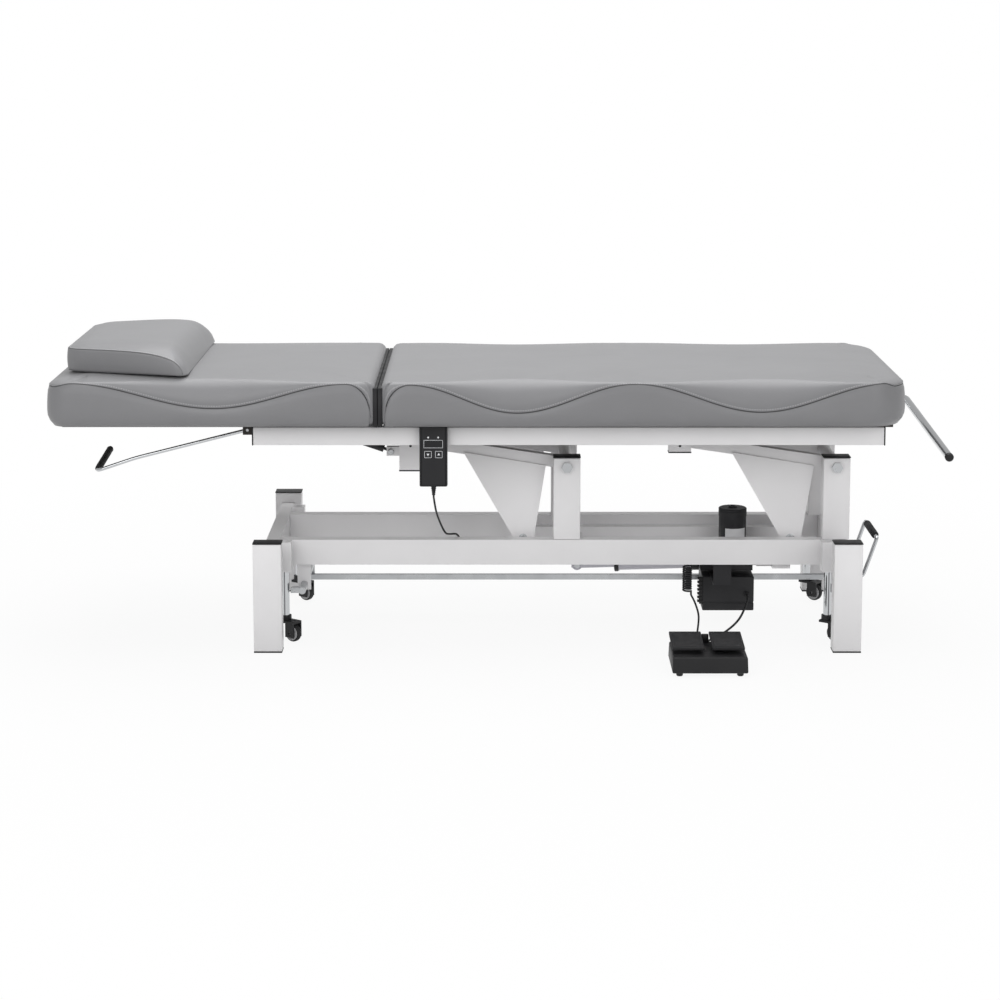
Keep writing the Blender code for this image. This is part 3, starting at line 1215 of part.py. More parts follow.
def build_padding(root):
    top_pivot = (TOP_PIVOT_X, 0, TOP_PIVOT_Z)
    head_pivot = (HEAD_HINGE_X, 0, HEAD_HINGE_Z)
    board_top = BOARD_LOW_Z + BOARD_THICK
    shape = box(
        SEAT_LEFT_X + BOARD_INSET,
        SEAT_RIGHT_X - BOARD_INSET,
        -BOARD_HALF_Y,
        BOARD_HALF_Y,
        BOARD_LOW_Z,
        board_top,
    )
    place("seat_board", shape, top_pivot, BOARD_WOOD, root)
    shape = box(
        HEAD_LEFT_X + BOARD_INSET,
        HEAD_RIGHT_X - BOARD_INSET,
        -BOARD_HALF_Y,
        BOARD_HALF_Y,
        BOARD_LOW_Z,
        board_top,
    )
    made = place("head_board", shape, head_pivot, BOARD_WOOD, root)
    plate_near = STRUT_Y + STRUT_EYE_THICK / 2 + STRUT_SIDE_CLEAR
    ear_half = STRUT_EAR_WIDE / 2
    plate = box(
        STRUT_HIGH_X - ear_half,
        STRUT_HIGH_X + ear_half,
        plate_near,
        plate_near + STRUT_EAR_THICK,
        STRUT_HIGH_Z - ear_half,
        BOARD_LOW_Z + WELD,
    )
    fuse(made, plate)
    ear_from = RELEASE_EYE_THICK / 2 + RELEASE_SIDE_CLEAR
    ear_half = RELEASE_EAR_WIDE / 2
    for way in (-1, 1):
        near = RELEASE_Y + way * ear_from
        low_y, high_y = sorted((near, near + way * RELEASE_EAR_THICK))
        ear = box(
            RELEASE_X - ear_half,
            RELEASE_X + ear_half,
            low_y,
            high_y,
            RELEASE_Z - ear_half,
            BOARD_LOW_Z + WELD,
        )
        fuse(made, ear)
    reach = ear_from + RELEASE_EAR_THICK + WELD
    hole = (RELEASE_Y - reach, RELEASE_Y + reach)
    cut(made, across_bar(RELEASE_X, RELEASE_Z, *hole, RELEASE_PIN_R + GAP, ROD_SIDES))

    shape = cushion(
        SEAT_LEFT_X, SEAT_RIGHT_X, SEAT_LEFT_CORNER, SEAT_RIGHT_CORNER, SEAT_CROWN
    )
    place("seat_cushion", shape, top_pivot, GREY_LEATHER, root)
    shape = cushion(
        HEAD_LEFT_X, HEAD_RIGHT_X, HEAD_LEFT_CORNER, HEAD_RIGHT_CORNER, HEAD_CROWN
    )
    place("head_cushion", shape, head_pivot, GREY_LEATHER, root)
    place("pillow", pillow(), head_pivot, GREY_LEATHER, root)


def build_head_gear(root):
    """Gas strut under the head section and the lever that releases it."""
    low = Vector((STRUT_LOW_X, STRUT_Y, STRUT_LOW_Z))
    high = Vector((STRUT_HIGH_X, STRUT_Y, STRUT_HIGH_Z))
    run = (high - low).normalized()
    half = STRUT_EYE_THICK / 2
    eye_y = (STRUT_Y - half, STRUT_Y + half)
    profile = (
        (0, STRUT_NECK_R),
        (STRUT_NECK_LONG, STRUT_NECK_R),
        (STRUT_NECK_LONG, STRUT_CYLINDER_R),
        (STRUT_CYLINDER_LONG, STRUT_CYLINDER_R),
    )
    shape = turned(low, high, profile)
    made = place("strut_cylinder", shape, low, BLACK_PLASTIC, root)
    fuse(made, across_bar(STRUT_LOW_X, STRUT_LOW_Z, *eye_y, STRUT_EYE_R, ROUND_SIDES))
    pin_reach = half + STRUT_EAR_CLEAR + STRUT_EAR_THICK
    pin_y = (STRUT_Y - pin_reach, STRUT_Y + pin_reach)
    fuse(made, across_bar(STRUT_LOW_X, STRUT_LOW_Z, *pin_y, STRUT_PIN_R, ROUND_SIDES))
    floor_at = STRUT_CYLINDER_LONG - STRUT_ROD_INSIDE
    bore_from = low + run * (floor_at - WELD)
    bore_to = low + run * (STRUT_CYLINDER_LONG + CUT_OVERRUN)
    cut(made, bar(bore_from, bore_to, STRUT_ROD_R + STRUT_BORE_CLEAR, ROD_SIDES))
    shape = bar(low + run * floor_at, high, STRUT_ROD_R, ROD_SIDES)
    made = place("strut_rod", shape, high, CHROME, root)
    fuse(made, across_bar(STRUT_HIGH_X, STRUT_HIGH_Z, *eye_y, STRUT_EYE_R, ROUND_SIDES))

    end = Vector((RELEASE_END_X, RELEASE_Y, RELEASE_END_Z))
    far = end + Vector((0, RELEASE_GRIP_START + RELEASE_GRIP_LONG, RELEASE_GRIP_RISE))
    path = rounded_path(
        [
            (RELEASE_X, RELEASE_Y, RELEASE_Z),
            (RELEASE_MID_X, RELEASE_Y, RELEASE_MID_Z),
            end,
            far,
        ],
        RELEASE_BEND,
    )
    pivot = (RELEASE_X, RELEASE_Y, RELEASE_Z)
    made = place("release_lever", swept(path, RELEASE_R), pivot, CHROME, root)
    half = RELEASE_EYE_THICK / 2
    eye_y = (RELEASE_Y - half, RELEASE_Y + half)
    pin_reach = half + RELEASE_SIDE_CLEAR + RELEASE_EAR_THICK
    pin_y = (RELEASE_Y - pin_reach, RELEASE_Y + pin_reach)
    grip_run = (far - end).normalized()
    grip = bar(end + grip_run * RELEASE_GRIP_START, far + grip_run * RELEASE_GRIP_R, RELEASE_GRIP_R)
    fuse(
        made,
        across_bar(RELEASE_X, RELEASE_Z, *eye_y, RELEASE_EYE_R, ROUND_SIDES),
        across_bar(RELEASE_X, RELEASE_Z, *pin_y, RELEASE_PIN_R, ROD_SIDES),
        grip,
    )


def build_attachments(root):
    holder_y = TOP_RAIL_OUT_Y + GAP + HOLDER_R
    path = rounded_path(
        [
            (HOLDER_NEAR_X, HOLDER_NEAR_Y, HOLDER_NEAR_Z),
            (HOLDER_FAR_X, holder_y, HOLDER_RAIL_Z),
            (TOP_RIGHT_X - HOLDER_ALONG, holder_y, HOLDER_RAIL_Z),
        ],
        HOLDER_BEND,
        8,
    )
    place("roll_holder", swept(path, HOLDER_R, ROUND_SIDES), path[-1], CHROME, root)

    back_y = -(TOP_RAIL_OUT_Y + GAP)
    front_y = back_y - HANDSET_DEEP
    half = HANDSET_WIDE / 2
    edge = HANDSET_CHAMFER
    corners = (
        (-half + edge, front_y),
        (half - edge, front_y),
        (half, front_y + edge),
        (half, back_y),
        (-half, back_y),
        (-half, front_y + edge),
    )
    top_z = HANDSET_LOW_Z + HANDSET_TALL
    rings = [[(HANDSET_X + x, y, z) for x, y in corners] for z in (HANDSET_LOW_Z, top_z)]
    middle_y = (front_y + back_y) / 2
    made = place(
        "handset", rings_shape(rings), (HANDSET_X, back_y, top_z), BLACK_PLASTIC, root
    )
    low = (HANDSET_X, middle_y, HANDSET_LOW_Z - RELIEF_LONG)
    fuse(made, bar(low, (HANDSET_X, middle_y, HANDSET_LOW_Z + WELD), RELIEF_R, ROD_SIDES))


# Cords


def smooth_route(points, step):
    """Evenly spaced places along a smooth curve; its first and last runs stay straight."""
    points = [Vector(point) for point in points]
    fine = []
    for a, b, c, d in zip(points, points[1:], points[2:], points[3:]):
        for number in range(ROUTE_FINENESS):
            t = number / ROUTE_FINENESS
            level = 2 * b + (c - a) * t
            bend = (2 * a - 5 * b + 4 * c - d) * t**2 + (3 * b - a - 3 * c + d) * t**3
            fine.append((level + bend) / 2)
    fine.append(points[-2])
    total = sum((q - p).length for p, q in zip(fine, fine[1:]))
    count = max(round(total / step), 2)
    spots = []
    run = 0.0
    for p, q in zip(fine, fine[1:]):
        length = (q - p).length
        while len(spots) < count and len(spots) * total / count <= run + length:
            spots.append(p.lerp(q, (len(spots) * total / count - run) / length))
        run += length
    ends = (points[1] - points[0]).length + (points[-1] - points[-2]).length
    return [points[0], *spots, points[-2], points[-1]], total + ends


def cord(name, points, radius, roundness, root):
    curve = bpy.data.curves.new(name, "CURVE")
    curve.dimensions = "3D"
    curve.bevel_depth = radius
    curve.bevel_resolution = roundness
    curve.use_fill_caps = True
    spline = curve.splines.new("POLY")
    spline.points.add(len(points) - 1)
    home = Vector(points[0])
    for place_at, point in enumerate(points):
        spline.points[place_at].co = (*(Vector(point) - home), 1.0)
    made = bpy.data.objects.new(name, curve)
    bpy.context.scene.collection.objects.link(made)
    made.location = home
    made.parent = root
    curve.materials.append(material(name + "_" + BLACK_RUBBER[0], *BLACK_RUBBER[1:]))


def curl_points():
    spots = []
    top = (CURL_X + CURL_R, CURL_Y, CURL_TOP_Z + CURL_LEAD)
    for number in range(CURL_TURNS * CURL_POINTS + 1):
        turn = 2 * math.pi * number / CURL_POINTS
        spots.append(
            (
                CURL_X + CURL_R * math.cos(turn),
                CURL_Y + CURL_R * math.sin(turn),
                CURL_TOP_Z - CURL_PITCH * number / CURL_POINTS,
            )
        )
    bottom = (CURL_X + CURL_R, CURL_Y, spots[-1][2] - CURL_LEAD)
    return [top, *spots, bottom]


def least_self_gap(points, radius, turn_points):
    """The least distance between turns, surface to surface, on the route's own points."""
    least = None
    for first, a in enumerate(points):
        for b in points[first + turn_points // 2 :]:
            gap = (Vector(a) - Vector(b)).length - 2 * radius
            least = gap if least is None else min(least, gap)
    return least


def build_cords(root):
    relief_y = -(TOP_RAIL_OUT_Y + GAP + HANDSET_DEEP / 2)
    start_z = HANDSET_LOW_Z - RELIEF_LONG - GAP
    curl = curl_points()
    curl_top = Vector(curl[0])
    inside_y = -(SIDE_RAIL_IN_Y - 2 * CORD_R)
    over_z = RAIL_TOP_Z + CORD_OVER_RAIL
    lead = 2 * CORD_R
    route = [
        (HANDSET_X, relief_y, start_z),
        (HANDSET_X, relief_y, start_z - lead),
        (-0.1385, -0.2300, 0.2950),
        (-0.1230, -0.1800, 0.2450),
        (-0.1120, -0.1560, over_z + lead),
        (-0.1040, -SIDE_RAIL_Y, over_z),
        (-0.0960, -0.1110, 0.2230),
        (-0.0860, -0.1040, 0.2060),
        (-0.0700, -0.1070, 0.1940),
        (-0.0300, inside_y, 0.1860),
        (0.1200, inside_y, 0.1800),
        (0.2900, inside_y, 0.1760),
        (0.3900, inside_y, 0.1720),
        (CURL_X, inside_y + CORD_R, 0.1670),
        (curl_top.x, curl_top.y, curl_top.z + GAP + lead),
        (curl_top.x, curl_top.y, curl_top.z + GAP),
    ]
    points, upper = smooth_route(route, CORD_STEP)
    cord("handset_cord", points, CORD_R, 2, root)
    cord("handset_cord_curl", curl, CORD_R, 1, root)

    bottom = Vector(curl[-1])
    entry_y = SWITCH_BACK_Y + GAP
    route = [
        (bottom.x, bottom.y, bottom.z - GAP),
        (bottom.x, bottom.y, bottom.z - GAP - lead),
        (0.4390, -0.1350, 0.0720),
        (0.4430, -0.1900, 0.0560),
        (0.4340, -0.2700, 0.0400),
        (0.4240, -0.3300, 0.0290),
        (CURL_CORD_X, entry_y + lead, SWITCH_CORD_Z),
        (CURL_CORD_X, entry_y, SWITCH_CORD_Z),
    ]
    points, lower = smooth_route(route, CORD_STEP)
    cord("handset_cord_tail", points, CORD_R, 2, root)

    gland_y = BOX_Y - BOX_DEEP / 2 - BOX_GLAND_LONG - GAP
    lead = 2 * SWITCH_CORD_R
    route = [
        (BOX_GLAND_X, gland_y, BOX_GLAND_Z),
        (BOX_GLAND_X, gland_y - lead, BOX_GLAND_Z),
        (0.5590, -0.1050, 0.0650),
        (0.5360, -0.1650, 0.0420),
        (0.5000, -0.2350, 0.0320),
        (0.4600, -0.2950, 0.0290),
        (0.4410, -0.3350, 0.0270),
        (SWITCH_CORD_X, entry_y + lead, SWITCH_CORD_Z),
        (SWITCH_CORD_X, entry_y, SWITCH_CORD_Z),
    ]
    points, switch = smooth_route(route, SWITCH_CORD_STEP)
    cord("switch_cord", points, SWITCH_CORD_R, 2, root)

    wound = sum((Vector(b) - Vector(a)).length for a, b in zip(curl, curl[1:]))
    print("cord lengths in metres: upper %.3f, curl %.3f, lower %.3f" % (upper, wound, lower))
    print("foot switch cord length in metres: %.3f" % switch)
    print("least gap in the curl, metres: %.5f" % least_self_gap(curl, CORD_R, CURL_POINTS))


def main():
    for old in list(bpy.data.objects):
        bpy.data.objects.remove(old, do_unlink=True)
    root = bpy.data.objects.new("table_axes", None)
    bpy.context.scene.collection.objects.link(root)
    root.location = (SHIFT_X, SHIFT_Y, 0)
    build_base(root)
    build_arms(root)
    build_actuator(root)
    build_control_box(root)
    build_foot_switch(root)
    build_casters(root)
    build_caster_lift(root)
    build_top(root)
    build_padding(root)
    build_head_gear(root)
    build_attachments(root)
    build_cords(root)


main()
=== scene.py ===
"""Electric examination table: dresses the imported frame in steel, leather and rubber."""

import math

import bmesh
import bpy
from bpy.props import FloatProperty, FloatVectorProperty, PointerProperty
from mathutils import Matrix, Vector


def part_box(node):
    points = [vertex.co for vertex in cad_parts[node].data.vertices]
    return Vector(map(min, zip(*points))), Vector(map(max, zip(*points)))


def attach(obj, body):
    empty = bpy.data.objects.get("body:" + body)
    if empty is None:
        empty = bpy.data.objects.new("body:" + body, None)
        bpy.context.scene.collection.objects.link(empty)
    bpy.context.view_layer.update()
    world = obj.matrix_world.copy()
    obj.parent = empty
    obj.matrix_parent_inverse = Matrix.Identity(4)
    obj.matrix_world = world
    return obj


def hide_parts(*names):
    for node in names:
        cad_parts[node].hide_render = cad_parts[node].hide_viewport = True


bl_info = {
    "name": "Examination table",
    "version": (1, 0, 0),
    "blender": (4, 5, 0),
    "location": "View3D > Sidebar > Table",
    "description": "Cushions, finishes and small parts of an electric examination table",
    "category": "Object",
}

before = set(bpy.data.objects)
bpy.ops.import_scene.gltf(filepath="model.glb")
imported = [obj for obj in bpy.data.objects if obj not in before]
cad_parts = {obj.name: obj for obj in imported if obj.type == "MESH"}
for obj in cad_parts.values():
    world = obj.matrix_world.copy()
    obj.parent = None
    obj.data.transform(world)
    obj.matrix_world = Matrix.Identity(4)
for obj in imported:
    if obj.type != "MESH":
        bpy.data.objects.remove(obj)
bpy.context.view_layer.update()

# Places on the real table are kept in axes whose origin lies under the camera, on the
# table's mid-plane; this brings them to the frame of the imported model.
SHIFT = Vector((-0.0015, 0.0915, 0.0))


def at(x, y, z):
    return Vector((x, y, z)) + SHIFT


def node_box(node):
    low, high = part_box(node)
    return Vector(low) - SHIFT, Vector(high) - SHIFT


def linear(code):
    """An sRGB hex value as linear light."""
    values = [int(code[place : place + 2], 16) / 255 for place in (1, 3, 5)]
    light = [v / 12.92 if v <= 0.04045 else ((v + 0.055) / 1.055) ** 2.4 for v in values]
    return (*light, 1.0)


# Sizes and colours


class CushionSizes(bpy.types.PropertyGroup):
    grid: FloatProperty(
        name="Fabric grid",
        description="Spacing of the points on a cushion's cover",
        default=0.006,
        unit="LENGTH",
    )
    fold_reach: FloatProperty(
        name="Fold reach",
        description="How far the top panel rolls inward for each metre that it drops",
        default=0.85,
    )
    stitch: FloatProperty(
        name="Stitch length",
        description="From one stitch to the next along a seam",
        default=0.0055,
        unit="LENGTH",
    )
    leather: FloatVectorProperty(
        name="Leather",
        description="Colour of the cover",
        subtype="COLOR",
        size=4,
        default=linear("#7E7E80"),
    )


class SteelSizes(bpy.types.PropertyGroup):
    cap: FloatProperty(
        name="Cap height",
        description="Height of the black plugs that close the square tubes",
        default=0.0025,
        unit="LENGTH",
    )
    corner: FloatProperty(
        name="Tube corner",
        description="Outer radius of a square tube's corners",
        default=0.0025,
        unit="LENGTH",
    )
    enamel: FloatVectorProperty(
        name="Powder coat",
        description="Colour of the coated steel",
        subtype="COLOR",
        size=4,
        default=linear("#E4E3E4"),
    )


class StageSizes(bpy.types.PropertyGroup):
    focal: FloatProperty(
        name="Lens", description="Focal length for a 36 mm wide sensor", default=88.58
    )
    distance: FloatProperty(
        name="Camera distance",
        description="From the front legs to the camera",
        default=5.2408,
        unit="LENGTH",
    )
    height: FloatProperty(
        name="Camera height", description="Above the floor", default=1.4362, unit="LENGTH"
    )
    pitch: FloatProperty(
        name="Camera pitch",
        description="Down from level",
        default=math.radians(8),
        subtype="ANGLE",
    )
    shift: FloatProperty(name="Lens shift", description="Share of the width", default=-0.1632)


# Making pieces

# Places of the legs, uprights and casters
CORNERS = [face + "_" + side for face in ("front", "back") for side in ("left", "right")]


def place_piece(name, data, look, body, replaces):
    data.materials.append(LOOKS[look])
    piece = bpy.data.objects.new(name, data)
    bpy.context.scene.collection.objects.link(piece)
    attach(piece, body)
    if replaces:
        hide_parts(*replaces)
    return piece


def finish_piece(bm, name, look, body, replaces=(), sharp=35):
    """Turns a bmesh in the table's axes into a piece that sits at the origin and rides."""
    bmesh.ops.recalc_face_normals(bm, faces=bm.faces)
    bmesh.ops.translate(bm, verts=bm.verts, vec=SHIFT)
    mesh = bpy.data.meshes.new(name)
    bm.to_mesh(mesh)
    bm.free()
    mesh.shade_smooth()
    if sharp:
        mesh.set_sharp_from_angle(angle=math.radians(sharp))
    return place_piece(name, mesh, look, body, replaces)


def add_block(bm, low, high, edge=0.0, segments=2):
    """A block between two corners, its edges rounded."""
    low, high = Vector(low), Vector(high)
    made = bmesh.ops.create_cube(bm, size=1.0)["verts"]
    bmesh.ops.scale(bm, verts=made, vec=high - low)
    bmesh.ops.translate(bm, verts=made, vec=(low + high) / 2)
    if edge:
        edges = list(dict.fromkeys(e for v in made for e in v.link_edges))
        bmesh.ops.bevel(
            bm, geom=edges, offset=edge, offset_type="OFFSET", affect="EDGES",
            segments=segments, profile=0.5, material=-1, clamp_overlap=True,
        )
    return bm


def block_piece(name, low, high, edge, look, body, replaces=(), segments=2):
    bm = add_block(bmesh.new(), low, high, edge, segments)
    return finish_piece(bm, name, look, body, replaces)


def add_turned(bm, start, end, profile, steps=32):
    """Spins (distance, radius) pairs about the line from start to end."""
    start = Vector(start)
    run = (Vector(end) - start).normalized()
    side = Vector((0, 0, 1)) if abs(run.z) < 0.9 else Vector((1, 0, 0))
    side = (side - run * side.dot(run)).normalized()
    line = [bm.verts.new(start + run * d + side * r) for d, r in profile]
    edges = [bm.edges.new(pair) for pair in zip(line, line[1:])]
    bmesh.ops.spin(
        bm, geom=[*line, *edges], cent=start, axis=run, angle=2 * math.pi, steps=steps,
        use_merge=True,
    )
    bmesh.ops.remove_doubles(bm, verts=bm.verts, dist=1e-6)
    return bm


def turned_piece(name, start, end, profile, look, body, steps=32):
    return finish_piece(add_turned(bmesh.new(), start, end, profile, steps), name, look, body)


def add_hexagon(bm, start, end, across):
    """A hexagonal bolt head or nut, its outer corners taken off."""
    rim = across / math.sqrt(3)
    tall = (Vector(end) - Vector(start)).length
    profile = ((0, 0), (0, rim), (tall - 0.0008, rim), (tall, rim - 0.001), (tall, 0))
    return add_turned(bm, start, end, profile, 6)


def rounded_path(points, radius, steps=8):
    """The polyline with each inner corner replaced by a smooth turn a radius long."""
    points = [Vector(point) for point in points]
    path = [points[0]]
    for before, corner, after in zip(points, points[1:], points[2:]):
        start = corner + (before - corner).normalized() * radius
        end = corner + (after - corner).normalized() * radius
        for step in range(steps + 1):
            share = step / steps
            path.append(start.lerp(corner, share).lerp(corner.lerp(end, share), share))
    path.append(points[-1])
    return path


def bent_rod(name, points, radius, look, body, replaces=(), sides=6):
    """A round bar bent along a path, as a filled curve."""
    curve = bpy.data.curves.new(name, "CURVE")
    curve.dimensions = "3D"
    curve.bevel_depth = radius
    curve.bevel_resolution = sides
    curve.use_fill_caps = True
    spline = curve.splines.new("POLY")
    spline.points.add(len(points) - 1)
    for spot, point in zip(spline.points, points):
        spot.co = (*(Vector(point) + SHIFT), 1.0)
    spline.use_smooth = True
    return place_piece(name, curve, look, body, replaces)


# Finishes


def add_node(tree, kind, settings=None, links=None):
    """One node with its settings and its incoming links."""
    node = tree.nodes.new("ShaderNode" + kind)
    for key, value in (settings or {}).items():
        if isinstance(key, int) or key in node.inputs:
            node.inputs[key].default_value = value
        else:
            setattr(node, key, value)
    for key, source in (links or {}).items():
        tree.links.new(source, node.inputs[key])
    return node


def start_finish(name, colour, roughness, metallic=0.0):
    look = bpy.data.materials.new(name)
    look.use_nodes = True
    tree = look.node_tree
    shader = tree.nodes["Principled BSDF"]
    shader.inputs["Base Color"].default_value = colour
    shader.inputs["Roughness"].default_value = roughness
    shader.inputs["Metallic"].default_value = metallic
    place = add_node(tree, "TexCoord").outputs["Object"]
    return look, tree, shader, place


def grain(tree, shader, place, size_mm, depth_mm, detail, strength):
    """A noise bump whose grains are size_mm across and depth_mm deep."""
    noise = add_node(
        tree, "TexNoise", {"Scale": 500 / size_mm, "Detail": detail, "Roughness": 0.55},
        {"Vector": place},
    )
    bump = add_node(
        tree, "Bump", {"Distance": depth_mm / 1000, "Strength": strength},
        {"Height": noise.outputs["Fac"]},
    )
    tree.links.new(bump.outputs["Normal"], shader.inputs["Normal"])


def vary_roughness(tree, shader, place, low, high, size_mm):
    """Handling marks: patches that are a little duller or shinier."""
    noise = add_node(
        tree, "TexNoise", {"Scale": 500 / size_mm, "Detail": 4.0}, {"Vector": place}
    )
    spread = add_node(
        tree, "MapRange", {"From Min": 0.35, "From Max": 0.65, "To Min": low, "To Max": high},
        {"Value": noise.outputs["Fac"]},
    )
    tree.links.new(spread.outputs["Result"], shader.inputs["Roughness"])
    return noise


def mix_colours(tree, share, first, second):
    """A blend of two colours, each a value or another node's output."""
    mix = add_node(tree, "Mix", {"data_type": "RGBA"}, {0: share})
    for socket, colour in ((6, first), (7, second)):
        if isinstance(colour, bpy.types.NodeSocket):
            tree.links.new(colour, mix.inputs[socket])
        else:
            mix.inputs[socket].default_value = colour
    return mix.outputs[2]


def vary_colour(tree, shader, noise, dark, light):
    colour = mix_colours(tree, noise.outputs["Fac"], dark, light)
    tree.links.new(colour, shader.inputs["Base Color"])


def shade_of(colour, factor):
    """A linear colour made darker or lighter by a factor."""
    return (*(Vector(colour[:3]) * factor), 1.0)


def powder_coated_steel():
    """Electrostatic powder coat baked on tube: satin, with a faint orange peel 1.5 mm wide."""
    enamel = bpy.context.scene.table_steel.enamel
    look, tree, shader, place = start_finish("powder_coated_steel", enamel, 0.38)
    shader.inputs["Coat Weight"].default_value = 0.15
    shader.inputs["Coat Roughness"].default_value = 0.25
    grain(tree, shader, place, 1.5, 0.06, 2.0, 0.35)
    noise = vary_roughness(tree, shader, place, 0.33, 0.45, 60)
    vary_colour(tree, shader, noise, shade_of(enamel, 0.951), shade_of(enamel, 1.05))
    return look


def polished_chrome():
    """Nickel and chrome plate on bent bar: a mirror with slight handling haze."""
    look, tree, shader, place = start_finish("polished_chrome", linear("#C2C4C6"), 0.08, 1.0)
    grain(tree, shader, place, 8, 0.02, 2.0, 0.15)
    vary_roughness(tree, shader, place, 0.06, 0.16, 25)
    return look


def zinc_plated_steel():
    """Bright zinc on bar and bolts: grey, with a soft sheen and faint drawing marks."""
    look, tree, shader, place = start_finish("zinc_plated_steel", linear("#B9BBBD"), 0.32, 1.0)
    grain(tree, shader, place, 2, 0.03, 3.0, 0.3)
    vary_roughness(tree, shader, place, 0.26, 0.42, 12)
    return look


def moulded_abs(name="moulded_abs", colour="#17171A", texture_mm=0.9):
    """Injection-moulded ABS with a spark-eroded texture, drawn a little coarse to show."""
    look, tree, shader, place = start_finish(name, linear(colour), 0.5)
    shader.inputs["Specular IOR Level"].default_value = 0.4
    grain(tree, shader, place, texture_mm, 0.08, 2.0, 0.5)
    noise = vary_roughness(tree, shader, place, 0.42, 0.6, 30)
    base = linear(colour)
    vary_colour(tree, shader, noise, shade_of(base, 0.85), shade_of(base, 1.2))
    return look


def vulcanised_rubber(name="vulcanised_rubber", colour="#19191B"):
    """Black rubber, matt with a dusty bloom."""
    look, tree, shader, place = start_finish(name, linear(colour), 0.72)
    grain(tree, shader, place, 1.2, 0.08, 3.0, 0.5)
    noise = vary_roughness(tree, shader, place, 0.62, 0.85, 20)
    base = linear(colour)
    vary_colour(tree, shader, noise, shade_of(base, 0.8), shade_of(base, 1.5))
    return look


def painted_board():
    """Plywood with a dark stain, matt, its grain along X at about 3 mm."""
    look, tree, shader, place = start_finish("painted_board", linear("#3A3734"), 0.8)
    stretched = add_node(tree, "Mapping", {"Scale": (2.0, 60.0, 60.0)}, {"Vector": place})
    noise = add_node(
        tree, "TexNoise", {"Scale": 6.0, "Detail": 6.0},
        {"Vector": stretched.outputs["Vector"]},
    )
    vary_colour(tree, shader, noise, linear("#2E2B28"), linear("#4A4642"))
    return look


def grey_leather():
    """PU leather on foam: pebbled grain about 1.6 mm wide, seams of paired stitches."""
    group = bpy.context.scene.table_cushion
    look, tree, shader, place = start_finish("pu_leather", group.leather, 0.42)
    shader.inputs["Specular IOR Level"].default_value = 0.42
    shader.inputs["Sheen Weight"].default_value = 0.08
    shader.inputs["Sheen Roughness"].default_value = 0.4
    pebble = add_node(
        tree, "TexVoronoi", {"Scale": 1000 / 1.6, "feature": "SMOOTH_F1", "Smoothness": 0.6},
        {"Vector": place},
    )
    creases = add_node(
        tree, "TexNoise", {"Scale": 9.0, "Detail": 5.0, "Distortion": 0.6}, {"Vector": place}
    )
    across = add_node(tree, "Attribute", {"attribute_name": "seam_across"}).outputs["Fac"]
    along = add_node(tree, "Attribute", {"attribute_name": "seam_along"}).outputs["Fac"]
    # The seam's crease: a V about 3 mm wide, sunk as a bump and darkened as painted shade, and
    # dashes of thread 4.8 mm above it
    away = add_node(tree, "Math", {"operation": "ABSOLUTE"}, {0: across})
    crease_and_painted_shade = add_node(
        tree, "MapRange",
        {"From Min": 0.0, "From Max": 0.0015, "To Min": 1.0, "To Max": 0.0,
         "interpolation_type": "SMOOTHSTEP"},
        {"Value": away.outputs[0]},
    ).outputs["Result"]
    thread_at = add_node(tree, "Math", {"operation": "SUBTRACT", 1: 0.0048}, {0: across})
    thread_away = add_node(tree, "Math", {"operation": "ABSOLUTE"}, {0: thread_at.outputs[0]})
    thread = add_node(
        tree, "MapRange",
        {"From Min": 0.0007, "From Max": 0.0015, "To Min": 1.0, "To Max": 0.0},
        {"Value": thread_away.outputs[0]},
    )
    beat = add_node(tree, "Math", {"operation": "DIVIDE", 1: group.stitch}, {0: along})
    phase = add_node(tree, "Math", {"operation": "FRACT"}, {0: beat.outputs[0]})
    dash = add_node(tree, "Math", {"operation": "LESS_THAN", 1: 0.68}, {0: phase.outputs[0]})
    stitch = add_node(
        tree, "Math", {"operation": "MULTIPLY"},
        {0: thread.outputs["Result"], 1: dash.outputs[0]},
    ).outputs[0]
    normal = None
    for height, distance, strength, sunk in (
        (pebble.outputs["Distance"], 0.00012, 0.35, False),
        (creases.outputs["Fac"], 0.004, 0.22, False),
        (crease_and_painted_shade, 0.0024, 1.0, True),
        (stitch, 0.0008, 0.8, False),
    ):
        links = {"Height": height, "Normal": normal} if normal else {"Height": height}
        settings = {"Distance": distance, "Strength": strength, "invert": sunk}
        normal = add_node(tree, "Bump", settings, links).outputs["Normal"]
    tree.links.new(normal, shader.inputs["Normal"])
    base = group.leather
    tone = mix_colours(
        tree, creases.outputs["Fac"], shade_of(base, 0.93), shade_of(base, 1.06)
    )
    # Painted shade: the cover drawn at 0.3 of its colour along the seam's crease
    painted_crease_shade = mix_colours(tree, crease_and_painted_shade, tone, shade_of(base, 0.3))
    sewn = mix_colours(tree, stitch, painted_crease_shade, shade_of(base, 1.75))
    tree.links.new(sewn, shader.inputs["Base Color"])
    return look


def silver_paint():
    """Silver lacquer on the drive's tube: a pale satin with fine flakes, drawn 1 mm wide."""
    look, tree, shader, place = start_finish("silver_lacquer", linear("#BDBCC4"), 0.34, 0.35)
    grain(tree, shader, place, 1.0, 0.02, 2.0, 0.25)
    noise = vary_roughness(tree, shader, place, 0.28, 0.42, 10)
    vary_colour(tree, shader, noise, linear("#B4B3BB"), linear("#C6C5CC"))
    return look


LOOKS = {}


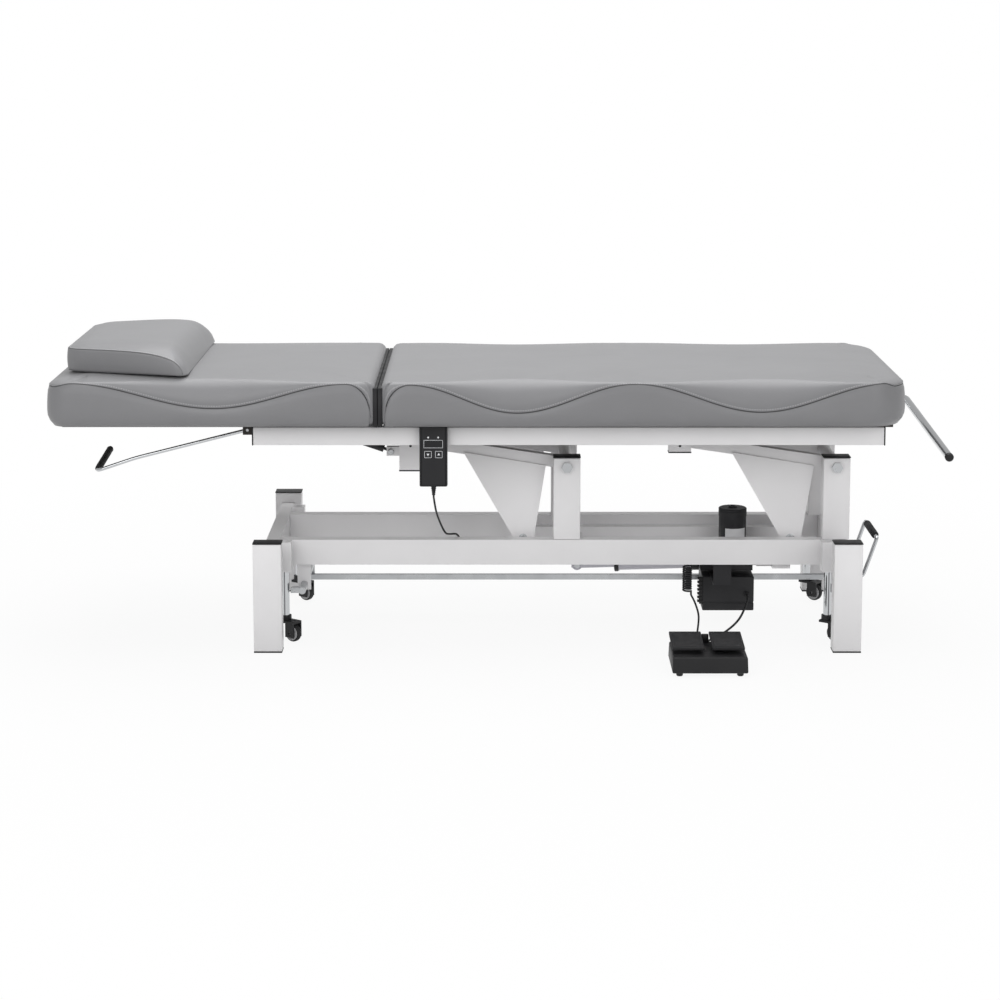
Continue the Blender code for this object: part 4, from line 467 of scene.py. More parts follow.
def make_looks():
    LOOKS.update(
        steel=powder_coated_steel(),
        chrome=polished_chrome(),
        zinc=zinc_plated_steel(),
        abs=moulded_abs(),
        cap=moulded_abs("polythene_cap", "#121214", 1.4),
        rubber=vulcanised_rubber(),
        # A black sheet for the cushions' hinge ends: painted shade of the gap between the two
        # cushions
        vinyl=vulcanised_rubber("black_vinyl", "#1A1A1C"),
        cord=vulcanised_rubber("pvc_cord", "#18181A"),
        label=moulded_abs("paper_label", "#D2D2D4", 2.0),
        window=moulded_abs("acrylic_window", "#0C0C10", 3.0),
        print=moulded_abs("screen_print", "#E4E5E8", 2.0),
        silver=silver_paint(),
        hub=moulded_abs("nylon_hub", "#C9C9CB", 1.4),
        board=painted_board(),
        leather=grey_leather(),
    )


# Cushions

# Below this height a seam's end meets the cushion's base
BASE_SEAM = 0.51
# Distances from the seam at which the cover shows none
UNDER, PLAIN = -0.2, 0.02


def wave(points, x):
    """A line through (x, z) points, level at each, that ends steeply where it meets the base."""
    if x <= points[0][0]:
        return points[0][1], 0.0
    for (x0, z0), (x1, z1) in zip(points, points[1:]):
        if x <= x1:
            share = (x - x0) / (x1 - x0)
            if min(z0, z1) < BASE_SEAM:
                up = share if z0 < z1 else 1 - share
                round_up = math.sqrt(max(1 - (1 - up) ** 2, 0.0)) ** 0.8
                return min(z0, z1) + abs(z1 - z0) * round_up, 4 * (1 - up) ** 2
            slope = (z1 - z0) * math.pi * math.sin(math.pi * share) / 2 / (x1 - x0)
            return z0 + (z1 - z0) * (1 - math.cos(math.pi * share)) / 2, slope
    return points[-1][1], 0.0


def smooth(value):
    value = min(max(value, 0.0), 1.0)
    return value * value * (3 - 2 * value)


# Where the wavy seam turns on the long sides, left to right
SEAT_WAVE = (
    (-0.256, 0.507), (-0.196, 0.5955), (0.037, 0.5345), (0.293, 0.5975), (0.564, 0.5366),
    (0.84, 0.5985), (0.884, 0.59),
)
HEAD_WAVE = (
    (-0.98, 0.591), (-0.93, 0.599), (-0.618, 0.5445), (-0.33, 0.5975), (-0.273, 0.507)
)


def cut_grid(bm, low, high, counts):
    """Cuts a block into so many cells along each axis, and adds the seam's attributes."""
    for axis in range(3):
        edges = [
            e for e in bm.edges
            if abs(e.verts[0].co[axis] - e.verts[1].co[axis]) > 0.5 * (high[axis] - low[axis])
        ]
        bmesh.ops.subdivide_edges(bm, edges=edges, cuts=counts[axis] - 1, use_grid_fill=True)
    floats = bm.verts.layers.float
    floats.new("seam_across")
    floats.new("seam_along")
    return floats["seam_across"], floats["seam_along"]


class Cushion:
    """The sizes of one upholstered pad and its profile at any place round its edge."""

    # Rows of points up a side, the row of the seam, and the rings that roll over the edge
    rows, seam_row, rings = 14, 8, 13
    # Width of the rolled edge at the hinge and at the free end, and where it starts to change
    hinge_roll, free_roll, roll_change = 0.017, 0.03, 0.08
    # How deep the seam draws the cover in, and over what distance
    pinch, pinch_reach = 0.0022, 0.006
    # How far a side swells, and how the cover turns under the board
    swell, round_in, hinge_round_in, round_up = 0.0035, 0.011, 0.004, 0.03
    bottom_in, hinge_bottom_in = 0.0145, 0.008
    crown_reach = 0.16

    def __init__(self, low, high, crown, points, corners, hinge_side):
        self.low, self.high = low, high
        self.top, self.crown = high.z - crown, crown
        self.points = points
        self.corners = corners
        self.hinge_side = hinge_side
        self.reach = bpy.context.scene.table_cushion.fold_reach
        self.grid = bpy.context.scene.table_cushion.grid
        self.run = [0.0]
        self.steps = 400
        width = (high.x - low.x) / self.steps
        for number in range(self.steps):
            slope = wave(points, low.x + (number + 0.5) * width)[1]
            self.run.append(self.run[-1] + width * math.hypot(1, slope))

    def along(self, x):
        place = (x - self.low.x) / (self.high.x - self.low.x) * self.steps
        place = min(max(place, 0.0), self.steps - 1e-6)
        cell = int(place)
        return self.run[cell] + (self.run[cell + 1] - self.run[cell]) * (place - cell)

    def edge(self, x, on_end):
        """Seam height, slope, drop and roll width where x is the place along a long side."""
        near = min(x - self.low.x, self.high.x - x)
        at_hinge = (x - self.low.x < 0.2) == (self.hinge_side < 0)
        seam, slope = wave(self.points, x)
        drop = max(self.top - seam, 0.003)
        width = max(drop * self.reach, 0.01)
        if near < self.roll_change or on_end:
            far = 0.0 if on_end else smooth(near / self.roll_change)
            end_roll = self.hinge_roll if at_hinge else self.free_roll
            width = end_roll + (width - end_roll) * far
        return seam, 0.0 if on_end else slope, drop, width

    def profile(self, seam, drop, width, step):
        """(inset, height, distance over the seam) after so many steps up from the seam."""
        rise = min(drop, width / self.reach)
        wall = drop - rise
        arc = math.pi / 2 * math.sqrt((rise * rise + width * width) / 2)
        flat = max(self.rings * self.grid - width, 0.0)
        path = (wall + arc + flat) * step / (self.rows - self.seam_row + self.rings)
        drawn_in = self.pinch * math.exp(-path / self.pinch_reach)
        if path < wall:
            return drawn_in, seam + path, path
        if path < wall + arc:
            turn = (path - wall) / arc * math.pi / 2
            over = width * (1 - math.cos(turn)) + drawn_in
            return over, seam + wall + rise * math.sin(turn), path
        return width + path - wall - arc + drawn_in, self.top, path

    def side(self, seam, row, at_hinge):
        """(inset, height, distance under the seam) of a row between the base and the seam."""
        share = row / self.seam_row
        tall = seam - self.low.z
        up = tall * share
        swell = 0.0 if at_hinge or tall <= 0.02 else self.swell
        puff = swell * math.sin(math.pi * share**0.75) ** 0.8 if swell else 0.0
        round_in = self.hinge_round_in if at_hinge else self.round_in
        under = round_in * (1 - min(up / self.round_up, 1.0)) ** 2
        drawn_in = self.pinch * math.exp(-(tall - up) / self.pinch_reach)
        return drawn_in + under - puff, self.low.z + up, up - tall


def upholster(pad):
    """A block's skin, cut into a grid and pulled over the pad's profile."""
    low, high = pad.low, pad.high
    bm = add_block(bmesh.new(), low, high)
    counts = (
        round((high.x - low.x) / pad.grid), round((high.y - low.y) / pad.grid), pad.rows
    )
    across, along = cut_grid(bm, low, high, counts)
    last_step = pad.rows - pad.seam_row + pad.rings
    fan = (pad.rings + 1) * pad.grid
    for vert in bm.verts:
        x, y, z = vert.co
        near_x = min(x - low.x, high.x - x)
        near_y = min(y - low.y, high.y - y)
        way_x = 1 if x - low.x < high.x - x else -1
        way_y = 1 if y < (low.y + high.y) / 2 else -1
        end_x, end_y = (low.x if way_x > 0 else high.x), (low.y if way_y > 0 else high.y)
        corner = pad.corners[0 if way_x > 0 else 1]
        inset = min(near_x, near_y)
        on_end = near_x < near_y
        at_hinge = on_end and way_x == -pad.hinge_side
        # Near a corner each ring's points fan out, so that both sides meet on its diagonal.
        fanned = max(near_x, near_y) < fan - 1e-6
        share = (fan - max(near_x, near_y)) / (fan - inset) if fanned else 0.0
        place = end_x if on_end else x
        if fanned and not on_end:
            place = end_x + way_x * fan * (1 - share)
        seam, slope, drop, width = pad.edge(place, on_end)
        on_side = inset < 1e-5
        row = round((z - low.z) / (high.z - low.z) * pad.rows)
        if on_side and row <= pad.seam_row:
            new_in, new_z, gap = pad.side(seam, row, at_hinge)
        elif z > low.z + 1e-5:
            step = (row if on_side else pad.rows + inset / pad.grid) - pad.seam_row
            if step <= last_step:
                new_in, new_z, gap = pad.profile(seam, drop, width, step)
            else:
                new_in, new_z, gap = inset, pad.top, inset
            crowned = 1 - (1 - min(new_in / pad.crown_reach, 1.0)) ** 2
            new_z += pad.crown * crowned * smooth((new_z - seam) / drop)
        else:
            least = pad.hinge_bottom_in if at_hinge else pad.bottom_in
            new_in, new_z, gap = max(inset, least), low.z, UNDER
        off_edge, off_next = new_in, max(near_x, near_y)
        if fanned:
            straight = fan - max(corner, new_in)
            radius = max(corner - new_in, 0.0)
            gone = share * (straight + radius * math.pi / 4)
            off_next = fan - gone
            if gone > straight and radius > 0:
                turn = (gone - straight) / radius
                off_edge = corner - radius * math.cos(turn)
                off_next = corner - radius * math.sin(turn)
        if inset > fan:
            off_edge = inset
        off_x, off_y = (off_edge, off_next) if on_end else (off_next, off_edge)
        vert.co = (end_x + way_x * off_x, end_y + way_y * off_y, new_z)
        vert[across] = gap / math.hypot(1, slope)
        vert[along] = (y + 1.0) if on_end else pad.along(place)
    return bm


class TABLE_OT_cushions(bpy.types.Operator):
    """Build the seat cushion, the head cushion and the pillow"""

    bl_idname = "table.cushions"
    bl_label = "Cushions"

    def execute(self, context):
        for node, points, body, crown, corners, hinge in (
            ("seat_cushion", SEAT_WAVE, "top", 0.006, (0.022, 0.09), -1),
            ("head_cushion", HEAD_WAVE, "head", 0.01, (0.045, 0.02), 1),
        ):
            bm = upholster(Cushion(*node_box(node), crown, points, corners, hinge))
            name = node.split("_")[0] + "_pad"
            piece = finish_piece(bm, name, "leather", body, (node,), 0)
        self.pillow()
        return {"FINISHED"}

    def pillow(self, grid=0.006):
        """A wedge with a boxed side: its top panel falls off towards the foot end."""
        low, high = node_box("pillow")
        bm = add_block(bmesh.new(), low, high)
        long, full = high.x - low.x, (high.y - low.y) / 2
        middle = (low.y + high.y) / 2
        across, along = cut_grid(bm, low, high, (round(long / grid), round(2 * full / grid), 10))
        corner, swell = 0.03, 0.0022
        for vert in bm.verts:
            x, y, z = vert.co
            way = 1 if x - low.x < high.x - x else -1
            share = (x - low.x) / long
            near_x = min(x - low.x, high.x - x)
            near_y = full - abs(y - middle)
            inset = min(near_x, near_y)
            on_end = near_x < near_y
            out_x, out_y = corner - near_x, corner - near_y
            px, py = x, y - middle
            if out_x > 0 and out_y > 0:
                turn = math.pi / 4 * min(out_x, out_y) / max(out_x, out_y)
                if out_x <= out_y:
                    turn = math.pi / 2 - turn
                most = max(out_x, out_y)
                px = (low.x if way > 0 else high.x) + way * (corner - most * math.cos(turn))
                py = math.copysign(full - corner + most * math.sin(turn), py)
            half = (0.2 + 0.08 * share) / full
            edge = 0.0025 + 0.047 * max(1 - share**5, 0.0) ** 0.6
            tall = 0.0605 + 0.007 * share - 0.024 * share**7
            row = (z - low.z) / (high.z - low.z)
            if z > high.z - 1e-5:
                puff = (1 - (1 - min(near_y / 0.1, 1.0)) ** 2.2) * (
                    1 - (1 - min(near_x / 0.05, 1.0)) ** 2
                )
                new_z = low.z + edge + (tall - edge) * puff
                gap = PLAIN if on_end and way < 0 and near_x < 0.05 else inset
            elif z < low.z + 1e-5:
                new_z, gap = low.z, UNDER
            else:
                new_z, gap = low.z + edge * row, -edge * (1 - row)
            if on_end and x > high.x - 1e-5:
                gap = PLAIN
            if inset < 1e-5:
                out = swell * math.sin(math.pi * row) * min(edge / 0.03, 1.0)
                px -= way * out if on_end else 0
                py += 0 if on_end else math.copysign(out, py)
            vert.co = (px, middle + py * half, new_z)
            vert[across] = gap
            vert[along] = y if on_end or near_x == near_y else x
        bmesh.ops.smooth_vert(
            bm, verts=[v for v in bm.verts if v.co.z > low.z + 0.002], factor=0.25,
            use_axis_x=True, use_axis_y=True, use_axis_z=True,
        )
        piece = finish_piece(bm, "pillow_pad", "leather", "head", ("pillow",), 0)


# Steelwork

STEEL_NODES = ("leg_", "cross_rail", "side_rail", "upright", "lift_arm", "top_", "tie_bar",
               "actuator_cross")
LOOK_OF_NODE = (
    (STEEL_NODES, "steel"),
    (("caster_stem", "strut_rod", "roll_holder", "release_lever", "lift_shaft_foot"), "chrome"),
    (("pivot_shaft", "caster_link", "lift_shaft_left"), "zinc"),
    (("actuator_tube", "actuator_rod"), "silver"),
    (("seat_board", "head_board"), "board"),
    (("caster_wheel", "pedal"), "rubber"),
    (("",), "abs"),
)


class TABLE_OT_finishes(bpy.types.Operator):
    """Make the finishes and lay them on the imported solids"""

    bl_idname = "table.finishes"
    bl_label = "Finishes"

    def execute(self, context):
        make_looks()
        for name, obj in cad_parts.items():
            look = next(key for starts, key in LOOK_OF_NODE if name.startswith(starts))
            for slot in obj.material_slots:
                slot.material = LOOKS[look]
        return {"FINISHED"}


class TABLE_OT_tubes(bpy.types.Operator):
    """Round the corners of the square tubes and close their ends with black caps"""

    bl_idname = "table.tubes"
    bl_label = "Tubes and caps"

    def execute(self, context):
        sizes = context.scene.table_steel
        lip, pad = 0.0008, 0.0035
        for place in CORNERS:
            for post, foot, proud in (("leg_", 0.003, 0.0), ("upright_", 0.0, 0.0008)):
                node = post + place
                low, high = node_box(node)
                block_piece(
                    node + "_tube", (low.x, low.y, low.z + foot),
                    (high.x, high.y, high.z - sizes.cap), sizes.corner, "steel", "base", (node,),
                )
                top = high.z + proud
                block_piece(
                    node + "_cap", (low.x - lip, low.y - lip, top - sizes.cap),
                    (high.x + lip, high.y + lip, top), 0.0014, "cap", "base", (), 3,
                )
                if foot:
                    block_piece(
                        node + "_pad", low, (high.x, high.y, low.z + pad), 0.001, "cap", "base"
                    )
        half, lip = 0.0015, 0.0006
        for face in ("front", "back"):
            node = "top_rail_" + face
            low, high = node_box(node)
            block_piece(node + "_tube", low, high, sizes.corner, "steel", "top", (node,))
            for end, x in (("head", low.x), ("foot", high.x)):
                block_piece(
                    node + "_" + end + "_cap", (x - half, low.y - lip, low.z - lip),
                    (x + half, high.y + lip, high.z + lip), 0.001, "cap", "top",
                )
        return {"FINISHED"}


def route_through(points, step, fineness=24):
    """Evenly spaced places along a smooth curve; its first and last runs stay straight."""
    points = [Vector(point) for point in points]
    fine = []
    for a, b, c, d in zip(points, points[1:], points[2:], points[3:]):
        for number in range(fineness):
            t = number / fineness
            level = 2 * b + (c - a) * t
            bend = (2 * a - 5 * b + 4 * c - d) * t**2 + (3 * b - a - 3 * c + d) * t**3
            fine.append((level + bend) / 2)
    fine.append(points[-2])
    total = sum((q - p).length for p, q in zip(fine, fine[1:]))
    count = max(round(total / step), 2)
    spots = []
    run = 0.0
    for p, q in zip(fine, fine[1:]):
        length = (q - p).length
        while len(spots) < count and len(spots) * total / count <= run + length:
            spots.append(p.lerp(q, (len(spots) * total / count - run) / length))
        run += length
    return [points[0], *spots, points[-2], points[-1]]


HANDSET_ROUTE = (
    (-0.145, -0.2613, 0.3447), (-0.145, -0.2613, 0.3403), (-0.1385, -0.23, 0.295),
    (-0.123, -0.18, 0.245), (-0.112, -0.156, 0.2349), (-0.104, -0.1345, 0.2305),
    (-0.096, -0.111, 0.223), (-0.086, -0.104, 0.206), (-0.07, -0.107, 0.194),
    (-0.03, -0.1151, 0.186), (0.12, -0.1151, 0.18), (0.29, -0.1151, 0.176),
    (0.39, -0.1151, 0.172), (0.423, -0.1129, 0.167), (0.432, -0.108, 0.1592),
    (0.432, -0.108, 0.1548),
)
TAIL_ROUTE = (
    (0.432, -0.108, 0.088), (0.432, -0.108, 0.0836), (0.439, -0.135, 0.072),
    (0.443, -0.19, 0.056), (0.434, -0.27, 0.04), (0.424, -0.33, 0.029),
    (0.422, -0.3523, 0.026), (0.422, -0.3567, 0.026),
)
SWITCH_ROUTE = (
    (0.563, -0.0703, 0.074), (0.563, -0.0753, 0.074), (0.559, -0.105, 0.065),
    (0.536, -0.165, 0.042), (0.5, -0.235, 0.032), (0.46, -0.295, 0.029),
    (0.441, -0.335, 0.027), (0.438, -0.3517, 0.026), (0.438, -0.3567, 0.026),
)


class TABLE_OT_cords(bpy.types.Operator):
    """Lay the hand control's cord with its curl, and the foot switch's cord"""

    bl_idname = "table.cords"
    bl_label = "Cords"

    def execute(self, context):
        for name, points, radius, lay in (
            ("handset_cord", route_through(HANDSET_ROUTE, 0.01), 0.0022, "hanging"),
            ("handset_cord_curl", self.curl(), 0.0022, "coiled"),
            ("handset_cord_tail", route_through(TAIL_ROUTE, 0.01), 0.0022, "loose"),
            ("switch_cord", route_through(SWITCH_ROUTE, 0.0065), 0.0025, "loose"),
        ):
            piece = bent_rod(name + "_line", points, radius, "cord", "base", (name,), 4)
        return {"FINISHED"}

    def curl(self, turns=11, fine=16, pitch=0.0052, radius=0.009):
        """Places down the coiled stretch, which starts and ends straight."""
        x, y, z = 0.423, -0.108, 0.15
        places = [(x + radius, y, z + 0.0045)]
        for number in range(turns * fine + 1):
            turn = 2 * math.pi * number / fine
            places.append(
                (x + radius * math.cos(turn), y + radius * math.sin(turn),
                 z - pitch * number / fine)
            )
        return [*places, (x + radius, y, z - pitch * turns - 0.0045)]


class TABLE_OT_bars(bpy.types.Operator):
    """Bend the two levers and the paper roll's holder, and add grips, plugs and nuts"""

    bl_idname = "table.bars"
    bl_label = "Bars, grips and nuts"

    def execute(self, context):
        path = rounded_path(
            [(-0.556, -0.2, 0.479), (-0.804, -0.2, 0.416), (-0.89, -0.2, 0.387),
             (-0.89, -0.15, 0.3906)], 0.014,
        )
        bent_rod("release_bar", path, 0.004, "chrome", "release_lever", ("release_lever",))
        grip = ((0, 0), (0, 0.0052), (0.002, 0.0072), (0.016, 0.0075), (0.15, 0.0075),
                (0.16, 0.007), (0.168, 0.0077), (0.175, 0.0062), (0.178, 0.003), (0.179, 0))
        turned_piece(
            "release_grip", (-0.89, -0.182, 0.3883), (-0.89, -0.007, 0.401), grip, "rubber",
            "release_lever",
        )
        boss = ((0, 0), (0, 0.007), (0.001, 0.008), (0.0106, 0.008), (0.0116, 0.007),
                (0.0116, 0))
        turned_piece(
            "release_boss", (-0.556, -0.2058, 0.479), (-0.556, -0.1942, 0.479), boss, "zinc",
            "release_lever",
        )
        sleeve = ((0, 0), (0, 0.0055), (0.0015, 0.0079), (0.004, 0.0084), (0.12, 0.0084),
                  (0.1225, 0.0079), (0.124, 0.0055), (0.124, 0))
        turned_piece(
            "foot_lever_grip", (0.853, -0.062, 0.211), (0.853, 0.062, 0.211), sleeve, "rubber",
            "lift_foot",
        )
        path = rounded_path(
            [(0.974, -0.296, 0.4353), (0.966, 0.2593, 0.476), (0.6403, 0.2593, 0.476)], 0.035, 12
        )
        bent_rod("roll_bar", path, 0.009, "chrome", "top", ("roll_holder",), 9)
        plug = ((0, 0), (0, 0.0094), (0.006, 0.0096), (0.0095, 0.008), (0.0112, 0.004),
                (0.0116, 0))
        turned_piece(
            "roll_plug", (0.9739, -0.29, 0.4357), (0.974, -0.301, 0.4349), plug, "cap", "top"
        )
        self.fixings()
        self.stubs()
        # Black panels on the cushions' hinge ends: painted shade of the gap between the two
        # cushions
        for pad, body, x in (("seat", "top", -0.2595), ("head", "head", -0.2701)):
            block_piece(
                pad + "_gap_shade_panel", (x - 0.0048, -0.303, 0.502), (x + 0.0048, 0.303, 0.588),
                0.0014, "vinyl", body,
            )
        return {"FINISHED"}

    def fixings(self):
        """The tie bar's nuts on their washers, the strut's bolt and the drive rod's bolt."""
        washer = ((0, 0), (0, 0.0095), (0.0013, 0.0095), (0.0016, 0.0088), (0.0016, 0))
        for side, x in (("left", 0.052), ("right", 0.654)):
            bm = add_turned(bmesh.new(), (x, -0.1072, 0.215), (x, -0.1092, 0.215), washer)
            add_hexagon(bm, (x, -0.1085, 0.215), (x, -0.115, 0.215), 0.013)
            finish_piece(bm, "tie_nut_" + side, "zinc", "arm_" + side, (), 30)
        head = ((0, 0), (0, 0.0068), (0.0018, 0.0068), (0.003, 0.0055), (0.0033, 0.003),
                (0.0024, 0.0026), (0.0024, 0))
        turned_piece(
            "strut_bolt", (-0.2436, -0.1302, 0.4168), (-0.2436, -0.1335, 0.4168), head, "zinc",
            "top", 24,
        )
        bm = add_hexagon(bmesh.new(), (0.177, -0.0106, 0.13), (0.177, -0.0165, 0.13), 0.013)
        finish_piece(bm, "rod_bolt_head", "zinc", "tie", (), 30)

    def stubs(self):
        """A black cap under each stub of the top's crosses, and a thin black disc on its face,
        painted shade of the opening there.
        """
        hole_shade_disc = ((0, 0), (0, 0.003), (0.0006, 0.003), (0.0006, 0))
        for side, x, z in (("left", -0.2, 0.373), ("right", 0.402, 0.4146)):
            for face, way in (("front", -1), ("back", 1)):
                y, place = way * 0.1175, face + "_" + side
                block_piece(
                    "stub_cap_" + place, (x - 0.0258, y - 0.0133, z - 0.0012),
                    (x + 0.0258, y + 0.0133, z + 0.002), 0.001, "cap", "top",
                )
                turned_piece(
                    "stub_hole_shade_" + place, (x, y + way * 0.0122, 0.4296),
                    (x, y + way * 0.0126, 0.4296), hole_shade_disc, "cap", "top", 16,
                )


class TABLE_OT_handset(bpy.types.Operator):
    """Mould the hand control with its window, key marks, lamps and strain relief"""

    bl_idname = "table.handset"
    bl_label = "Hand control"

    def execute(self, context):
        low, high = node_box("handset")
        low.z = 0.365
        bm = add_block(bmesh.new(), low + Vector((0, 0.0015, 0)), high, 0.0035, 3)
        face = min(bm.faces, key=lambda f: f.calc_center_median().y)
        for thickness, sunk in ((0.0012, 0.0006), (0.0008, -0.0012)):
            bmesh.ops.inset_individual(bm, faces=[face], thickness=thickness)
            bmesh.ops.translate(bm, verts=face.verts, vec=(0, sunk, 0))
        finish_piece(bm, "handset_case", "abs", "top", ("handset",), 30)
        front = low.y + 0.0009
        marks = bmesh.new()
        lamp = ((0, 0), (0, 0.0021), (0.0008, 0.0018), (0.0013, 0.001), (0.0014, 0))
        for x in (-0.1562, -0.1344):
            add_turned(marks, (x, front, 0.4748), (x, front - 0.0014, 0.4748), lamp, 16)
        self.outline(marks, -0.166, -0.1245, 0.4515, 0.469, front)
        arrow = ((0, 0), (0, 0.0034), (0.0009, 0.0034), (0.0009, 0))
        for x, way in ((-0.1568, "down"), (-0.1332, "up")):
            self.outline(marks, x - 0.0078, x + 0.0078, 0.4296, 0.4446, front)
            mark = add_turned(
                bmesh.new(), (x, front + 0.0004, 0.4371), (x, front - 0.0005, 0.4371), arrow, 3
            )
            if way == "down":
                bmesh.ops.rotate(
                    mark, verts=mark.verts, cent=(x, front, 0.4371),
                    matrix=Matrix.Rotation(math.pi, 3, "Y"),
                )
            finish_piece(mark, "handset_arrow_" + way, "print", "top", (), 30)
        finish_piece(marks, "handset_marks", "print", "top", (), 30)
        block_piece(
            "handset_window", (-0.1655, front - 0.0004, 0.452),
            (-0.125, front + 0.001, 0.4685), 0.0003, "window", "top",
        )
        ribs = [(0, 0), (0, 0.0062), (0.002, 0.0062)]
        for number in range(4):
            start, radius = 0.003 + 0.0042 * number, 0.0056 - 0.0006 * number
            ribs += [(start, radius - 0.0007), (start + 0.0012, radius - 0.0007),
                     (start + 0.0018, radius), (start + 0.0032, radius)]
        ribs += [(0.0204, 0.0032), (0.0204, 0)]
        turned_piece(
            "handset_relief", (-0.145, -0.2613, 0.3655), (-0.145, -0.2613, 0.345), ribs,
            "rubber", "top", 24,
        )
        return {"FINISHED"}

    def outline(self, bm, left, right, bottom, top, front, width=0.0007):
        """A raised outline of four thin bars."""
        for a, b in (
            ((left, bottom), (right, bottom + width)), ((left, top - width), (right, top)),
            ((left, bottom), (left + width, top)), ((right - width, bottom), (right, top)),
        ):
            add_block(bm, (a[0], front - 0.0007, a[1]), (b[0], front + 0.0006, b[1]))


class TABLE_OT_drive(bpy.types.Operator):
    """Add the motor's end cap and blank label, the drive's ring and the control box's shell"""

    bl_idname = "table.drive"
    bl_label = "Drive and control box"

    def execute(self, context):
        x = 0.534
        cap = ((0, 0), (0, 0.0322), (0.012, 0.0322), (0.0132, 0.0312), (0.014, 0.0322),
               (0.0172, 0.0322), (0.0188, 0.03), (0.0188, 0.011), (0.0205, 0.0095),
               (0.0218, 0.0085), (0.0224, 0.006), (0.021, 0.0052), (0.021, 0))
        turned_piece("motor_cap", (x, 0, 0.244), (x, 0, 0.27), cap, "abs", "actuator", 48)
        self.label(x)
        pin, far = Vector((0.177, 0, 0.1302)), Vector((0.4589, 0, 0.1361))
        run = (far - pin).normalized()
        ring = ((0, 0), (0, 0.015), (0.0012, 0.0192), (0.003, 0.0197), (0.0085, 0.0197),
                (0.0095, 0.0192), (0.0095, 0))
        collar = ((0, 0), (0, 0.0194), (0.0008, 0.02), (0.018, 0.02), (0.019, 0))
        for name, start, end, profile in (
            ("drive_ring", 0.0855, 0.0965, ring), ("drive_collar", 0.262, 0.282, collar)
        ):
            turned_piece(
                name, pin + run * start, pin + run * end, profile, "cap", "actuator", 40
            )
        self.control_box()
        return {"FINISHED"}

    def label(self, x):
        """The blank label, a thin sheet round the motor's front."""
        bm = bmesh.new()
        start = math.radians(-126)
        rim = [
            bm.verts.new((x + r * math.cos(start), r * math.sin(start), z))
            for r, z in ((0.0312, 0.163), (0.0319, 0.163), (0.0319, 0.2185), (0.0312, 0.2185))
        ]
        face = bm.faces.new(rim)
        bmesh.ops.spin(
            bm, geom=[face, *face.edges, *face.verts], cent=(x, 0, 0), axis=(0, 0, 1),
            angle=math.radians(92), steps=20, use_merge=False,
        )
        finish_piece(bm, "motor_label", "label", "actuator", (), 30)

    def control_box(self):
        """The box's two shells with a gap between them, its ribbed plug strip and its gland."""
        low, high = Vector((0.463, -0.06, 0.036)), Vector((0.578, 0.05, 0.113))
        wall = 0.0012
        spread = Vector((wall, wall, wall))
        bm = add_block(
            bmesh.new(), (low.x - wall, low.y - wall, 0.0545), high + spread, 0.0026, 3
        )
        add_block(bm, low - spread, (high.x + wall, high.y + wall, 0.0533), 0.0026, 3)
        finish_piece(bm, "control_case", "abs", "base")
        bm = add_block(bmesh.new(), (0.4545, -0.0585, 0.05), (0.462, -0.056, 0.113), 0.0006)
        for number in range(7):
            z = 0.054 + 0.0088 * number
            add_block(bm, (0.4505, -0.06, z), (0.4622, -0.048, z + 0.0042), 0.0008)
        finish_piece(bm, "control_strip", "cap", "base")
        gland = ((0, 0), (0, 0.0068), (0.0024, 0.0068), (0.0034, 0.005), (0.0088, 0.0036),
                 (0.0094, 0.003), (0.0094, 0))
        turned_piece(
            "control_grommet", (0.563, -0.0608, 0.074), (0.563, -0.0703, 0.074), gland,
            "rubber", "base", 24,
        )


class TABLE_OT_switch(bpy.types.Operator):
    """Mould the foot switch: a base on four feet, its cord entry and two stepped pedals"""

    bl_idname = "table.switch"
    bl_label = "Foot switch"

    def execute(self, context):
        low, high = node_box("foot_switch_base")
        bm = add_block(bmesh.new(), (low.x, low.y, 0.008), (high.x, high.y, 0.043), 0.0035, 3)
        bmesh.ops.scale(
            bm, verts=[v for v in bm.verts if v.co.z > 0.03], vec=(0.985, 0.985, 1.0),
            space=Matrix.Translation(-(low + high) / 2),
        )
        add_block(bm, (0.4345, -0.37, 0.04), (0.4505, -0.358, 0.06), 0.002)
        foot = ((0, 0), (0, 0.0078), (0.0075, 0.007), (0.009, 0.0058), (0.0095, 0))
        for x in (low.x + 0.016, high.x - 0.016):
            for y in (low.y + 0.014, high.y - 0.014):
                add_turned(bm, (x, y, 0.0095), (x, y, 0), foot, 24)
        finish_piece(bm, "switch_case", "cap", "base", ("foot_switch_base",))
        for node in ("pedal_left", "pedal_right"):
            self.tread(node)
        return {"FINISHED"}

    def tread(self, node):
        """A plate with a raised, rimmed pad, modelled level at its hinge and then tilted."""
        low, high = node_box(node)
        bm = add_block(
            bmesh.new(), (low.x, low.y + 0.0008, -0.0085), (high.x, high.y - 0.0008, -0.0014),
            0.0016,
        )
        add_block(
            bm, (low.x + 0.003, low.y + 0.004, -0.003),
            (high.x - 0.003, high.y - 0.0075, -0.0004), 0.0008,
        )
        top = max(
            (f for f in bm.faces if f.normal.z > 0.9), key=lambda f: f.calc_center_median().z
        )
        for thickness in (0.003, 0.0008):
            bmesh.ops.inset_individual(bm, faces=[top], thickness=thickness)
        bmesh.ops.translate(bm, verts=top.verts, vec=(0, 0, -0.0007))
        bmesh.ops.rotate(
            bm, verts=bm.verts, cent=(0, -0.363, 0),
            matrix=Matrix.Rotation(math.atan2(0.007, 0.105), 3, "X"),
        )
        bmesh.ops.translate(bm, verts=bm.verts, vec=(0, 0, 0.066))
        finish_piece(bm, node + "_tread", "rubber", node, (node,))


